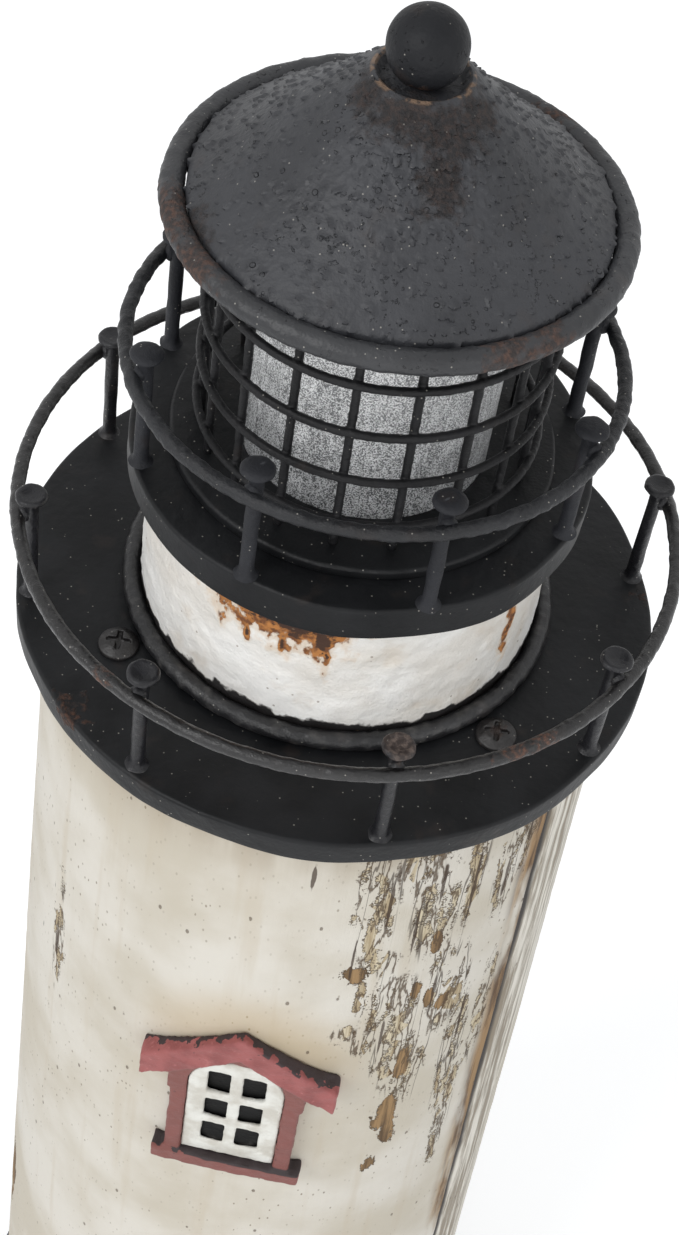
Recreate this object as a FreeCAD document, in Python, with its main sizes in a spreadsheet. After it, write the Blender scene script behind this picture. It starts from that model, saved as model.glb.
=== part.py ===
"""Garden lighthouse ornament with a battery light in its lantern.

A coopered wooden tower stands on a turned plinth. Two sheet-metal galleries with nail
balusters, a painted drum and a wire-mesh lantern stand on the tower, and a spun roof
lifts off the lantern. The batteries and the switch are in the underside of the plinth.

Frame: origin on the ground under the centre, +Z up, the window and the door face -Y.
Turns are in degrees from the front (-Y) towards +X. Lengths are in millimetres.
"""

import FreeCAD, Part
import math
import os
import re
import Sketcher
from FreeCAD import Placement, Rotation, Vector

doc = FreeCAD.newDocument("garden_lighthouse")

# ------------------------------------------------------------------ driving dimensions

DRIVING_SIZES = {
    # plinth and what stands under it
    "foot_radius": 8.0,
    "foot_thickness": 2.0,
    "foot_inset": 13.0,
    "foot_count": 4,
    "plinth_radius": 87.0,
    "plinth_height": 24.0,
    "plinth_edge_round": 3.0,
    # tower of two coopered halves, closed by a disc at each end
    "tower_bottom_radius": 79.4,
    "tower_top_radius": 68.0,
    "tower_height": 424.4,
    "tower_wall": 8.0,
    "seam_turn": 58.0,
    "seam_groove": 1.5,
    "end_disc_thickness": 12.0,
    "glue_gap": 0.1,
    "facade_turn": -3.2,
    # sheet metal and wire
    "sheet_thickness": 1.0,
    "pan_corner_radius": 0.8,
    "weld_gap": 0.02,
    "rail_wire_radius": 1.6,
    "post_radius": 1.6,
    "post_head_radius": 3.6,
    "post_head_height": 1.7,
    "post_rise": 4.8,
    "post_count": 8,
    # lower gallery
    "lower_gallery_overhang": 7.0,
    "lower_skirt_height": 6.5,
    "lower_rail_height": 25.8,
    "lower_post_turn": 14.4,
    "gallery_screw_inset": 12.5,
    "gallery_screw_turn": -5.1,
    "gallery_screw_spread": 52.2,
    # drum
    "drum_setback": 21.7,
    "drum_wall": 1.2,
    "drum_height": 48.2,
    "drum_ring_wire_radius": 2.2,
    # upper gallery
    "upper_gallery_overhang": 4.9,
    "upper_skirt_height": 8.5,
    "upper_rail_overhang": 1.6,
    "upper_rail_height": 25.4,
    "upper_post_turn": 22.5,
    # lantern
    "lantern_base_setback": 8.8,
    "lantern_base_height": 2.6,
    "lantern_base_lip": 3.4,
    "cage_setback": 6.0,
    "cage_wire_radius": 0.68,
    "cage_upright_count": 18,
    "cage_turn": -4.0,
    "cage_mesh_pitch": 12.7,
    "cage_first_hoop": 7.9,
    "diffuser_setback": 9.0,
    "diffuser_wall": 2.0,
    "diffuser_height": 57.0,
    "diffuser_seat_depth": 1.2,
    "diffuser_fit": 0.15,
    "diffuser_corner_radius": 4.0,
    # roof
    "roof_seat_gap": 0.3,
    "roof_overhang": 6.2,
    "roof_edge_skirt": 4.5,
    "roof_rise": 28.8,
    "roof_hollow_radius": 480.0,
    "roof_cup_rim_radius": 9.6,
    "roof_cup_floor_radius": 7.4,
    "roof_cup_depth": 2.2,
    "roof_rim_wire_radius": 2.6,
    "roof_rim_drop": 2.7,
    "roof_seat_bore": 24.0,
    "roof_collar_gap": 0.5,
    "roof_collar_height": 6.0,
    "finial_radius": 8.0,
    "finial_hole_depth": 7.0,
    "finial_stud_radius": 1.95,
    "finial_stud_gap": 0.1,
    "finial_washer_radius": 4.5,
    "finial_washer_thickness": 0.8,
    "finial_nut_flats": 7.0,
    "finial_nut_height": 3.2,
    "finial_stud_tail": 9.0,
    # lamp
    "lead_radius": 1.6,
    "lead_gap": 0.2,
    "grommet_wall": 1.6,
    "grommet_lip": 1.4,
    "led_flange_radius": 14.6,
    "led_flange_thickness": 2.0,
    "led_holder_radius": 9.0,
    "led_holder_height": 10.0,
    "led_board_radius": 7.6,
    "led_board_thickness": 1.6,
    "led_board_recess": 2.2,
    "led_radius": 2.5,
    "led_height": 6.0,
    "led_ring_radius": 4.2,
    "led_count": 3,
    "led_screw_ring_radius": 11.9,
    # battery box
    "cell_radius": 7.1,
    "cell_length": 49.0,
    "cell_nub_radius": 2.7,
    "cell_nub_length": 1.3,
    "cell_pitch": 15.2,
    "cell_count": 3,
    "cell_gap": 0.3,
    "box_wall": 1.6,
    "box_centre_y": 37.0,
    "box_flange_width": 5.6,
    "box_flange_thickness": 2.6,
    "contact_thickness": 0.5,
    "contact_height": 11.0,
    "spring_reach": 3.8,
    "spring_height": 9.0,
    "spring_thickness": 0.4,
    "spring_width": 6.0,
    "cover_thickness": 1.8,
    "cover_gap": 0.3,
    "cover_travel": 5.0,
    "cover_tab_reach": 1.4,
    "cover_tab_length": 5.0,
    "cover_tab_thickness": 0.8,
    "underside_recess": 3.0,
    "fit_gap": 0.2,
    # switch
    "switch_plate_length": 34.0,
    "switch_plate_width": 28.0,
    "switch_plate_thickness": 1.2,
    "switch_centre_y": -10.0,
    "switch_length": 11.0,
    "switch_width": 6.0,
    "switch_height": 5.5,
    "switch_offset": -4.0,
    "slider_length": 3.6,
    "slider_width": 2.4,
    "slider_height": 3.4,
    "slider_travel": 3.0,
    "battery_lead_radius": 1.1,
    "battery_lead_x": 5.0,
    "board_length": 18.0,
    "board_width": 22.5,
    "board_thickness": 1.2,
    # screws
    "screw_gap": 0.1,
    "gallery_screw_radius": 2.0,
    "gallery_screw_head_radius": 4.7,
    "gallery_screw_head_height": 2.3,
    "gallery_screw_length": 12.0,
    "plinth_screw_radius": 2.0,
    "plinth_screw_head_radius": 4.0,
    "plinth_screw_head_height": 2.4,
    "plinth_screw_bite": 8.0,
    "plinth_screw_x": 50.2,
    "plinth_screw_y": 29.0,
    "small_screw_radius": 1.2,
    "small_screw_head_radius": 2.3,
    "small_screw_head_height": 1.0,
    "small_screw_length": 7.0,
    "led_screw_length": 4.0,
    # window casting
    "window_rise": 269.5,
    "window_opening_radius": 12.6,
    "window_opening_straight": 35.1,
    "window_jamb_width": 4.3,
    "window_capital_overhang": 1.0,
    "window_capital_height": 13.0,
    "window_sill_height": 5.0,
    "window_sill_half_width": 20.1,
    "window_hood_half_width": 25.4,
    "window_hood_cover": 13.5,
    "window_hood_drop": 18.8,
    "window_hood_height": 9.8,
    "window_hood_stand": 3.6,
    "window_hood_bow": 90.0,
    "window_jamb_setback": 1.1,
    "window_sill_stand": 3.5,
    "window_frame_bow": 400.0,
    "window_leaf_stand": 1.0,
    "pane_width": 5.9,
    "pane_height": 9.2,
    "pane_offset": 4.6,
    "pane_pitch": 12.5,
    "pane_first": 6.4,
    # door casting
    "door_rise": 0.0,
    "door_opening_radius": 15.0,
    "door_opening_straight": 44.0,
    "door_jamb_width": 5.0,
    "door_capital_overhang": 1.2,
    "door_capital_height": 15.0,
    "door_sill_height": 5.0,
    "door_sill_half_width": 25.0,
    "door_hood_half_width": 30.0,
    "door_hood_cover": 14.8,
    "door_hood_drop": 22.0,
    "door_hood_height": 11.0,
    "door_hood_stand": 4.0,
    "door_hood_bow": 90.0,
    "door_jamb_setback": 1.3,
    "door_sill_stand": 4.2,
    "door_frame_bow": 400.0,
    "door_leaf_stand": 0.9,
    "plank_groove_width": 0.9,
    "plank_groove_depth": 0.4,
    "plank_pitch": 7.4,
    "knob_radius": 1.9,
    "knob_height": 26.0,
    "knob_offset": 10.6,
    "backing_thickness": 0.4,
}

sheet = doc.addObject("Spreadsheet::Sheet", "Sizes")
for row, (alias, value) in enumerate(DRIVING_SIZES.items(), start=1):
    sheet.set(f"A{row}", alias.replace("_", " "))
    sheet.set(f"B{row}", str(value))
    sheet.setAlias(f"B{row}", alias)
doc.recompute()


def formula(words):
    """An expression on the sheet: every alias in the words gets the sheet's name."""
    return re.sub(
        r"[a-z][a-z0-9_]*",
        lambda found: f"Sizes.{found.group(0)}" if found.group(0) in DRIVING_SIZES else found.group(0),
        words,
    )


def size(words):
    """The value that a formula has now."""
    return float(sheet.evalExpression(formula(words)))


# Heights above the ground, from the bottom up.
PLINTH_BOTTOM = "foot_thickness"
PLINTH_TOP = f"({PLINTH_BOTTOM} + plinth_height)"
TOWER_TOP = f"({PLINTH_TOP} + tower_height)"
LOWER_FLOOR = f"({TOWER_TOP} + sheet_thickness)"
LOWER_RAIL = f"({LOWER_FLOOR} + lower_rail_height)"
DRUM_TOP = f"({LOWER_FLOOR} + drum_height)"
UPPER_FLOOR = f"({DRUM_TOP} + sheet_thickness)"
UPPER_RAIL = f"({UPPER_FLOOR} + upper_rail_height)"
LANTERN_FLOOR = f"({UPPER_FLOOR} + lantern_base_height)"
HOOP_COUNT = 5
TOP_HOOP = f"({LANTERN_FLOOR} + cage_first_hoop + {HOOP_COUNT - 1} * cage_mesh_pitch)"
CAGE_TOP = f"({TOP_HOOP} + cage_wire_radius)"
ROOF_BOTTOM = f"({CAGE_TOP} + roof_seat_gap)"
ROOF_EDGE = f"({ROOF_BOTTOM} + roof_edge_skirt)"
ROOF_CUP_RIM = f"({ROOF_EDGE} + roof_rise)"
ROOF_CUP_FLOOR = f"({ROOF_CUP_RIM} - roof_cup_depth)"

# Radii of the tiers, each set in from the one below it. The lower rail is as wide as its pan.
LOWER_GALLERY_RADIUS = "(tower_top_radius + lower_gallery_overhang)"
DRUM_RADIUS = "(tower_top_radius - drum_setback)"
UPPER_GALLERY_RADIUS = f"({DRUM_RADIUS} + upper_gallery_overhang)"
UPPER_RAIL_RADIUS = f"({UPPER_GALLERY_RADIUS} + upper_rail_overhang)"
LANTERN_BASE_RADIUS = f"({UPPER_GALLERY_RADIUS} - lantern_base_setback)"
CAGE_RADIUS = f"({LANTERN_BASE_RADIUS} - cage_setback)"
DIFFUSER_RADIUS = f"({CAGE_RADIUS} - diffuser_setback)"
LANTERN_BORE = f"({DIFFUSER_RADIUS} - diffuser_wall - lantern_base_lip)"
ROOF_EDGE_RADIUS = f"({CAGE_RADIUS} + roof_overhang)"


def tower_radius(height):
    """The tower's outer radius at a height above the ground."""
    widening = "(tower_bottom_radius - tower_top_radius) / tower_height"
    return f"(tower_top_radius + {widening} * ({TOWER_TOP} - {height}))"


# ------------------------------------------------------------------ modelling helpers

NODES = []


def keep(thing, label):
    """Lists an object as a sub-part under the name of its file."""
    thing.Label = label
    NODES.append(thing)
    return thing


def new_body(label):
    return keep(doc.addObject("PartDesign::Body", label), label)


def origin_feature(body, role):
    return next(feature for feature in body.Origin.OriginFeatures if feature.Role == role)


def place(thing, x="0", y="0", z="0", turn="0"):
    """Puts an object at formulas x, y, z and turns it about the vertical."""
    thing.Placement = Placement(Vector(0, 0, 0), Rotation(Vector(0, 0, 1), 0))
    thing.setExpression("Placement.Base.x", formula(x))
    thing.setExpression("Placement.Base.y", formula(y))
    thing.setExpression("Placement.Base.z", formula(z))
    thing.setExpression("Placement.Rotation.Angle", formula(f"({turn}) * 1 deg"))
    return thing


def empty_sketch(body, plane, height="0"):
    sketch = body.newObject("Sketcher::SketchObject", f"{body.Name}_sketch")
    sketch.AttachmentSupport = [(origin_feature(body, plane), "")]
    sketch.MapMode = "FlatFace"
    sketch.setExpression("AttachmentOffset.Base.z", formula(height))
    return sketch


def bind(sketch, constraint, words):
    """Adds a dimension to a sketch and ties it to its formula."""
    index = sketch.addConstraint(constraint)
    sketch.setExpression(f"Constraints[{index}]", formula(words))


def draw_outline(sketch, corners, arcs=None):
    """A closed outline through corners, each a pair of formulas.

    arcs gives {index: (radius formula, side)} for each stretch that is round: the one
    that starts at that corner, with its centre on the left (1) or right (-1) of it.
    """
    arcs = arcs or {}
    points = [Vector(size(x), size(y), 0) for x, y in corners]
    first = sketch.GeometryCount
    count = len(corners)

    def start_of(index):
        return 2 if index in arcs and arcs[index][1] < 0 else 1

    def end_of(index):
        return 3 - start_of(index)

    for index, point in enumerate(points):
        following = points[(index + 1) % count]
        if index not in arcs:
            sketch.addGeometry(Part.LineSegment(point, following))
            continue
        radius, side = size(arcs[index][0]), arcs[index][1]
        chord = following.sub(point)
        rise = math.sqrt(max(radius**2 - (chord.Length / 2) ** 2, 0))
        across = Vector(-chord.y, chord.x, 0).normalize()
        centre = point.add(following).multiply(0.5).add(across.multiply(side * rise))
        angles = [math.atan2(end.y - centre.y, end.x - centre.x) for end in (point, following)]
        if side < 0:
            angles.reverse()
        circle = Part.Circle(centre, Vector(0, 0, 1), radius)
        sketch.addGeometry(Part.ArcOfCircle(circle, *angles))
    for index in range(count):
        following = (index + 1) % count
        ends = (first + index, end_of(index), first + following, start_of(following))
        sketch.addConstraint(Sketcher.Constraint("Coincident", *ends))
    for index, (x, y) in enumerate(corners):
        corner = (-1, 1, first + index, start_of(index))
        bind(sketch, Sketcher.Constraint("DistanceX", *corner, points[index].x), x)
        bind(sketch, Sketcher.Constraint("DistanceY", *corner, points[index].y), y)
    for index, (radius, _) in arcs.items():
        bind(sketch, Sketcher.Constraint("Radius", first + index, size(radius)), radius)
    return sketch


def draw_circle(sketch, x, y, radius):
    centre = Vector(size(x), size(y), 0)
    index = sketch.addGeometry(Part.Circle(centre, Vector(0, 0, 1), size(radius)))
    bind(sketch, Sketcher.Constraint("DistanceX", -1, 1, index, 3, centre.x), x)
    bind(sketch, Sketcher.Constraint("DistanceY", -1, 1, index, 3, centre.y), y)
    bind(sketch, Sketcher.Constraint("Radius", index, size(radius)), radius)


def draw_box(sketch, x, y, length, width):
    """A rectangle about its centre."""
    left, right = f"({x} - ({length}) / 2)", f"({x} + ({length}) / 2)"
    low, high = f"({y} - ({width}) / 2)", f"({y} + ({width}) / 2)"
    return draw_outline(sketch, [(left, low), (right, low), (right, high), (left, high)])


def revolve(body, sketch, axis=None, angle=360, backwards=False):
    feature = body.newObject("PartDesign::Revolution", f"{body.Name}_turned")
    feature.Profile = sketch
    feature.ReferenceAxis = axis or (origin_feature(body, "Z_Axis"), [""])
    feature.Angle = angle
    feature.Reversed = backwards
    doc.recompute()
    return feature


def pad(body, sketch, length, backwards=False):
    feature = body.newObject("PartDesign::Pad", f"{body.Name}_pad")
    feature.Profile = sketch
    feature.setExpression("Length", formula(length))
    feature.Reversed = backwards
    doc.recompute()
    return feature


def pocket(body, sketch, depth, backwards=False):
    """Cuts a sketch into a body, and stops if the cut took nothing away."""
    before = body.Shape.Volume
    feature = body.newObject("PartDesign::Pocket", f"{body.Name}_pocket")
    feature.Profile = sketch
    feature.setExpression("Length", formula(depth))
    feature.Reversed = backwards
    doc.recompute()
    if body.Shape.Volume > before - 1e-6:
        raise RuntimeError(f"a pocket of {body.Label} cuts nothing")
    return feature


def polar_copies(body, feature, count):
    pattern = body.newObject("PartDesign::PolarPattern", f"{body.Name}_copies")
    pattern.Originals = [feature]
    pattern.Axis = (origin_feature(body, "Z_Axis"), [""])
    pattern.Angle = 360
    pattern.setExpression("Occurrences", formula(count))
    body.Tip = pattern
    doc.recompute()
    return pattern


def edges_where(feature, test):
    """The names of a feature's edges that pass a test."""
    edges = enumerate(feature.Shape.Edges, start=1)
    return [f"Edge{number}" for number, edge in edges if test(edge)]


def dress(body, kind, feature, edges, dimension, words):
    """Rounds or chamfers the named edges of a body's last feature."""
    dressed = body.newObject(f"PartDesign::{kind}", f"{body.Name}_{kind.lower()}")
    dressed.Base = (feature, edges)
    dressed.setExpression(dimension, formula(words))
    doc.recompute()
    return dressed


def turned(label, corners, arcs=None, z="0", turn="0"):
    """A piece turned or spun about the vertical from its half outline."""
    body = new_body(label)
    revolve(body, draw_outline(empty_sketch(body, "XZ_Plane"), corners, arcs))
    return place(body, z=z, turn=turn)


def wire_ring(label, ring_radius, wire_radius, z):
    """A hoop of round wire, bent and butt-welded."""
    ring = keep(doc.addObject("Part::Torus", label), label)
    ring.setExpression("Radius1", formula(ring_radius))
    ring.setExpression("Radius2", formula(wire_radius))
    return place(ring, z=z)


def cylinder(name, radius, height, x="0", y="0", z="0"):
    piece = doc.addObject("Part::Cylinder", name)
    piece.setExpression("Radius", formula(radius))
    piece.setExpression("Height", formula(height))
    return place(piece, x, y, z)


def block(name, length, width, height, x="0", y="0", z="0"):
    """A box centred on x and y, standing on z."""
    piece = doc.addObject("Part::Box", name)
    piece.setExpression("Length", formula(length))
    piece.setExpression("Width", formula(width))
    piece.setExpression("Height", formula(height))
    return place(piece, f"({x}) - ({length}) / 2", f"({y}) - ({width}) / 2", z)


def minus(name, base, *tools):
    """A base with each tool cut out of it in turn."""
    for number, tool in enumerate(tools, start=1):
        cut = doc.addObject("Part::Cut", f"{name}_cut_{number}")
        cut.Base, cut.Tool = base, tool
        doc.recompute()
        if cut.Shape.Volume > base.Shape.Volume - 1e-6:
            raise RuntimeError(f"cut {number} of {name} takes nothing away")
        base = cut
    return base


def common(name, base, tool):
    """What a base and a tool share."""
    shared = doc.addObject("Part::Common", name)
    shared.Base, shared.Tool = base, tool
    doc.recompute()
    return shared


def group(label, *pieces):
    """Like pieces that share a node and stay separate solids."""
    compound = keep(doc.addObject("Part::Compound", label), label)
    compound.Links = list(pieces)
    doc.recompute()
    return compound


# ------------------------------------------------------------------ plinth

# Heights and sizes of what the underside of the plinth holds.
RECESS_TOP = f"({PLINTH_BOTTOM} + underside_recess)"
FLANGE_TOP = f"({RECESS_TOP} - weld_gap)"
FLANGE_BOTTOM = f"({FLANGE_TOP} - box_flange_thickness)"
COVER_TOP = f"({RECESS_TOP} - cover_gap)"
COVER_BOTTOM = f"({COVER_TOP} - cover_thickness)"
BOX_INSIDE_TOP = f"({COVER_TOP} + 2 * cell_radius + 2 * cell_gap)"
BOX_TOP = f"({BOX_INSIDE_TOP} + box_wall)"
BOX_INNER_LENGTH = "(cell_length + cell_nub_length + 2 * contact_thickness + spring_reach + cell_gap)"
BOX_INNER_WIDTH = "((cell_count - 1) * cell_pitch + 2 * cell_radius + 8 * cell_gap)"
BOX_LENGTH = f"({BOX_INNER_LENGTH} + 2 * box_wall)"
BOX_WIDTH = f"({BOX_INNER_WIDTH} + 2 * box_wall)"
FLANGE_LENGTH = f"({BOX_LENGTH} + 2 * box_flange_width)"
FLANGE_WIDTH = f"({BOX_WIDTH} + 2 * box_flange_width)"
PLATE_TOP = f"({RECESS_TOP} - weld_gap)"
PLATE_BOTTOM = f"({PLATE_TOP} - switch_plate_thickness)"
SWITCH_Y = "(switch_centre_y + switch_offset)"
SWITCH_BOTTOM = f"({PLATE_TOP} + weld_gap)"
SWITCH_TOP = f"({SWITCH_BOTTOM} + switch_height)"
BOARD_BOTTOM = f"({SWITCH_TOP} + weld_gap)"
BOARD_TOP = f"({BOARD_BOTTOM} + board_thickness)"
BATTERY_LEAD_Z = f"({BOARD_TOP} + weld_gap + battery_lead_radius)"
LEAD_HOLE = "(lead_radius + lead_gap)"

PLINTH_SCREW_PLACES = [
    (f"({side} * plinth_screw_x)", f"({end} * plinth_screw_y)") for side in (-1, 1) for end in (-1, 1)
]
BOX_SCREW_PLACES = [
    (
        f"({side} * ({BOX_LENGTH} + box_flange_width) / 2)",
        f"(box_centre_y + {end} * ({BOX_WIDTH} + box_flange_width) / 2)",
    )
    for side in (-1, 1)
    for end in (-1, 1)
]
PLATE_SCREW_PLACES = [
    (f"({side} * (switch_plate_length / 2 - 1.2 * small_screw_head_radius))", "switch_centre_y")
    for side in (-1, 1)
]

# Four rubber pads stick to the underside and level the ornament.
feet = new_body("foot_pads")
feet_sketch = empty_sketch(feet, "XY_Plane")
draw_circle(feet_sketch, "plinth_radius - foot_inset", "0", "foot_radius")
polar_copies(feet, pad(feet, feet_sketch, "foot_thickness"), "foot_count")
place(feet, turn="45")


def mill(body, x, y, length, width, depth, start="0"):
    """Cuts a rectangular pocket upwards from a height in the body."""
    sketch = empty_sketch(body, "XY_Plane", start)
    draw_box(sketch, x, y, length, width)
    return pocket(body, sketch, depth, backwards=True)


def drill(body, x, y, radius, depth, start="0"):
    """Cuts a round hole upwards from a height in the body."""
    sketch = empty_sketch(body, "XY_Plane", start)
    draw_circle(sketch, x, y, radius)
    return pocket(body, sketch, depth, backwards=True)


# The plinth is one turned board with a rounded top edge. Its underside is milled for the
# battery box, the switch and their wire, and it is drilled for its screws and the lead.
plinth = new_body("plinth")
plinth_sketch = empty_sketch(plinth, "XY_Plane")
draw_circle(plinth_sketch, "0", "0", "plinth_radius")
plinth_disc = pad(plinth, plinth_sketch, "plinth_height")
top_edges = edges_where(plinth_disc, lambda edge: edge.BoundBox.ZMin > size("plinth_height") - 0.01)
dress(plinth, "Fillet", plinth_disc, top_edges, "Radius", "plinth_edge_round")
mill(plinth, "0", "box_centre_y", f"{FLANGE_LENGTH} + 2 * fit_gap", f"{FLANGE_WIDTH} + 2 * fit_gap",
     "underside_recess")
mill(plinth, "0", "box_centre_y", f"{BOX_LENGTH} + 2 * fit_gap", f"{BOX_WIDTH} + 2 * fit_gap",
     f"{BOX_TOP} - {PLINTH_BOTTOM} + fit_gap")
mill(plinth, "0", "switch_centre_y", "switch_plate_length + 2 * fit_gap",
     "switch_plate_width + 2 * fit_gap", "underside_recess")
mill(plinth, "0", "switch_centre_y", "board_length + 2 * fit_gap", "board_width + 2 * fit_gap",
     f"{BATTERY_LEAD_Z} - {PLINTH_BOTTOM} + battery_lead_radius + fit_gap")
mill(plinth, "battery_lead_x", "(switch_centre_y + box_centre_y) / 2",
     "2 * battery_lead_radius + 2 * fit_gap", "box_centre_y - switch_centre_y",
     f"{BATTERY_LEAD_Z} - {PLINTH_BOTTOM} + battery_lead_radius + fit_gap")
drill(plinth, "0", "0", LEAD_HOLE, "plinth_height")
for x, y in PLINTH_SCREW_PLACES:
    drill(plinth, x, y, "plinth_screw_radius + screw_gap", "plinth_height")
    drill(plinth, x, y, "plinth_screw_head_radius + screw_gap", "plinth_screw_head_height + screw_gap")
for x, y in BOX_SCREW_PLACES + PLATE_SCREW_PLACES:
    drill(plinth, x, y, "small_screw_radius + screw_gap", "underside_recess + small_screw_length")
place(plinth, z=PLINTH_BOTTOM)


def screw_group(label, places, seat, shank, head_radius, head_height, length, up=False):
    """Cross-recess screws: heads seated at a height, shanks down, or up for heads below."""
    body = new_body(label)
    way = "-1" if up else "1"
    tip = f"({seat} - {way} * {length})"
    edge = f"({seat} + {way} * 0.4 * {head_height})"
    crown = f"({seat} + {way} * {head_height})"
    for x, y in places:
        corners = [
            (x, tip),
            (f"{x} + {shank}", tip),
            (f"{x} + {shank}", seat),
            (f"{x} + {head_radius}", seat),
            (f"{x} + {head_radius}", edge),
            (f"{x} + 0.55 * {head_radius}", crown),
            (x, crown),
        ]
        sketch = empty_sketch(body, "XZ_Plane", f"-1 * {y}")
        draw_outline(sketch, corners)
        revolve(body, sketch, axis=(sketch, [f"Edge{len(corners)}"]))
        for length_share, width_share in ((1.2, 0.26), (0.26, 1.2)):
            slot = empty_sketch(body, "XY_Plane", crown)
            draw_box(slot, x, y, f"{length_share} * {head_radius}", f"{width_share} * {head_radius}")
            pocket(body, slot, f"0.55 * {head_height}", backwards=up)
    return body


screw_group(
    "plinth_screws", PLINTH_SCREW_PLACES, f"({PLINTH_BOTTOM} + plinth_screw_head_height)",
    "plinth_screw_radius", "plinth_screw_head_radius", "plinth_screw_head_height",
    "(plinth_height - plinth_screw_head_height + plinth_screw_bite)", up=True,
)

# ------------------------------------------------------------------ battery box and cover

# The moulded box stands mouth down in the plinth. Four short grooves in its flange hold
# the cover's tabs, each with a notch at its +X end that lets the slid cover drop out. The
# wall at +X stops above the cover, and the flange is open there.
BOX_EXIT_LENGTH = "(box_wall + box_flange_width)"
TAB_START = "((cover_thickness - cover_tab_thickness) / 2)"
TAB_BOTTOM = f"({COVER_BOTTOM} + {TAB_START})"
TAB_PLACES = [f"({side} * 0.35 * cell_length)" for side in (-1, 1)]

battery_box = new_body("battery_box")
flange_sketch = empty_sketch(battery_box, "XY_Plane")
draw_box(flange_sketch, "0", "0", FLANGE_LENGTH, FLANGE_WIDTH)
pad(battery_box, flange_sketch, "box_flange_thickness")
case_sketch = empty_sketch(battery_box, "XY_Plane")
draw_box(case_sketch, "0", "0", BOX_LENGTH, BOX_WIDTH)
pad(battery_box, case_sketch, f"{BOX_TOP} - {FLANGE_BOTTOM}")
mill(battery_box, "0", "0", BOX_INNER_LENGTH, BOX_INNER_WIDTH, f"{BOX_INSIDE_TOP} - {FLANGE_BOTTOM}")
mill(battery_box, f"{BOX_INNER_LENGTH} / 2 + {BOX_EXIT_LENGTH} / 2", "0", BOX_EXIT_LENGTH, BOX_INNER_WIDTH,
     f"{RECESS_TOP} - {FLANGE_BOTTOM}")
for x in TAB_PLACES:
    mill(battery_box, f"({x} + cover_travel / 2)", "0", "cover_tab_length + cover_travel + 2 * cover_gap",
         f"{BOX_INNER_WIDTH} + 2 * cover_tab_reach", "cover_tab_thickness + 2 * cover_gap",
         start=f"{TAB_BOTTOM} - cover_gap - {FLANGE_BOTTOM}")
    mill(battery_box, f"({x} + cover_travel)", "0", "cover_tab_length + 2 * cover_gap",
         f"{BOX_INNER_WIDTH} + 2 * cover_tab_reach", f"{TAB_BOTTOM} - {FLANGE_BOTTOM}")
for x, y in BOX_SCREW_PLACES:
    drill(battery_box, x, f"{y} - box_centre_y", "small_screw_radius + screw_gap", "box_flange_thickness")
    drill(battery_box, x, f"{y} - box_centre_y", "small_screw_head_radius + screw_gap",
          "small_screw_head_height")
place(battery_box, y="box_centre_y", z=FLANGE_BOTTOM)

screw_group(
    "battery_box_screws", BOX_SCREW_PLACES, f"({FLANGE_BOTTOM} + small_screw_head_height)",
    "small_screw_radius", "small_screw_head_radius", "small_screw_head_height", "small_screw_length",
    up=True,
)

# The cover slides towards +X on its four tabs, then drops out. Grooves for a thumb cross
# its outside.
COVER_LENGTH = f"({BOX_INNER_LENGTH} + box_wall - cover_gap)"
COVER_WIDTH = f"({BOX_INNER_WIDTH} - 2 * cover_gap)"
COVER_MIDDLE = "((box_wall + cover_gap) / 2)"
THUMB_GROOVES = 5
battery_cover = new_body("battery_cover")
cover_sketch = empty_sketch(battery_cover, "XY_Plane")
draw_box(cover_sketch, COVER_MIDDLE, "0", COVER_LENGTH, COVER_WIDTH)
pad(battery_cover, cover_sketch, "cover_thickness")
for x in TAB_PLACES:
    tab_sketch = empty_sketch(battery_cover, "XY_Plane", TAB_START)
    draw_box(tab_sketch, x, "0", "cover_tab_length", f"{COVER_WIDTH} + 2 * cover_tab_reach")
    pad(battery_cover, tab_sketch, "cover_tab_thickness")
for groove in range(THUMB_GROOVES):
    mill(battery_cover, f"{COVER_LENGTH} * (0.2 + 0.04 * {groove})", "0", "0.02 * cell_length",
         f"{COVER_WIDTH} / 3", "cover_thickness / 4")
place(battery_cover, y="box_centre_y", z=COVER_BOTTOM)

# Three cells lie side by side along X, nub towards +X.
CELL_AXIS_Z = f"({BOX_INSIDE_TOP} - cell_gap - cell_radius)"
CELL_END = f"({BOX_INNER_LENGTH} / 2 - contact_thickness - cell_gap / 2)"
CELL_SHOULDER = f"({CELL_END} - cell_nub_length)"
cells = new_body("battery_cells")
for cell in range(int(size("cell_count"))):
    middle = f"(({cell} - (cell_count - 1) / 2) * cell_pitch)"
    corners = [
        (f"{CELL_SHOULDER} - cell_length", middle),
        (CELL_END, middle),
        (CELL_END, f"{middle} + cell_nub_radius"),
        (CELL_SHOULDER, f"{middle} + cell_nub_radius"),
        (CELL_SHOULDER, f"{middle} + cell_radius"),
        (f"{CELL_SHOULDER} - cell_length", f"{middle} + cell_radius"),
    ]
    cell_sketch = draw_outline(empty_sketch(cells, "XY_Plane"), corners)
    revolve(cells, cell_sketch, axis=(cell_sketch, ["Edge1"]))
place(cells, y="box_centre_y", z=CELL_AXIS_Z)

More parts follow.
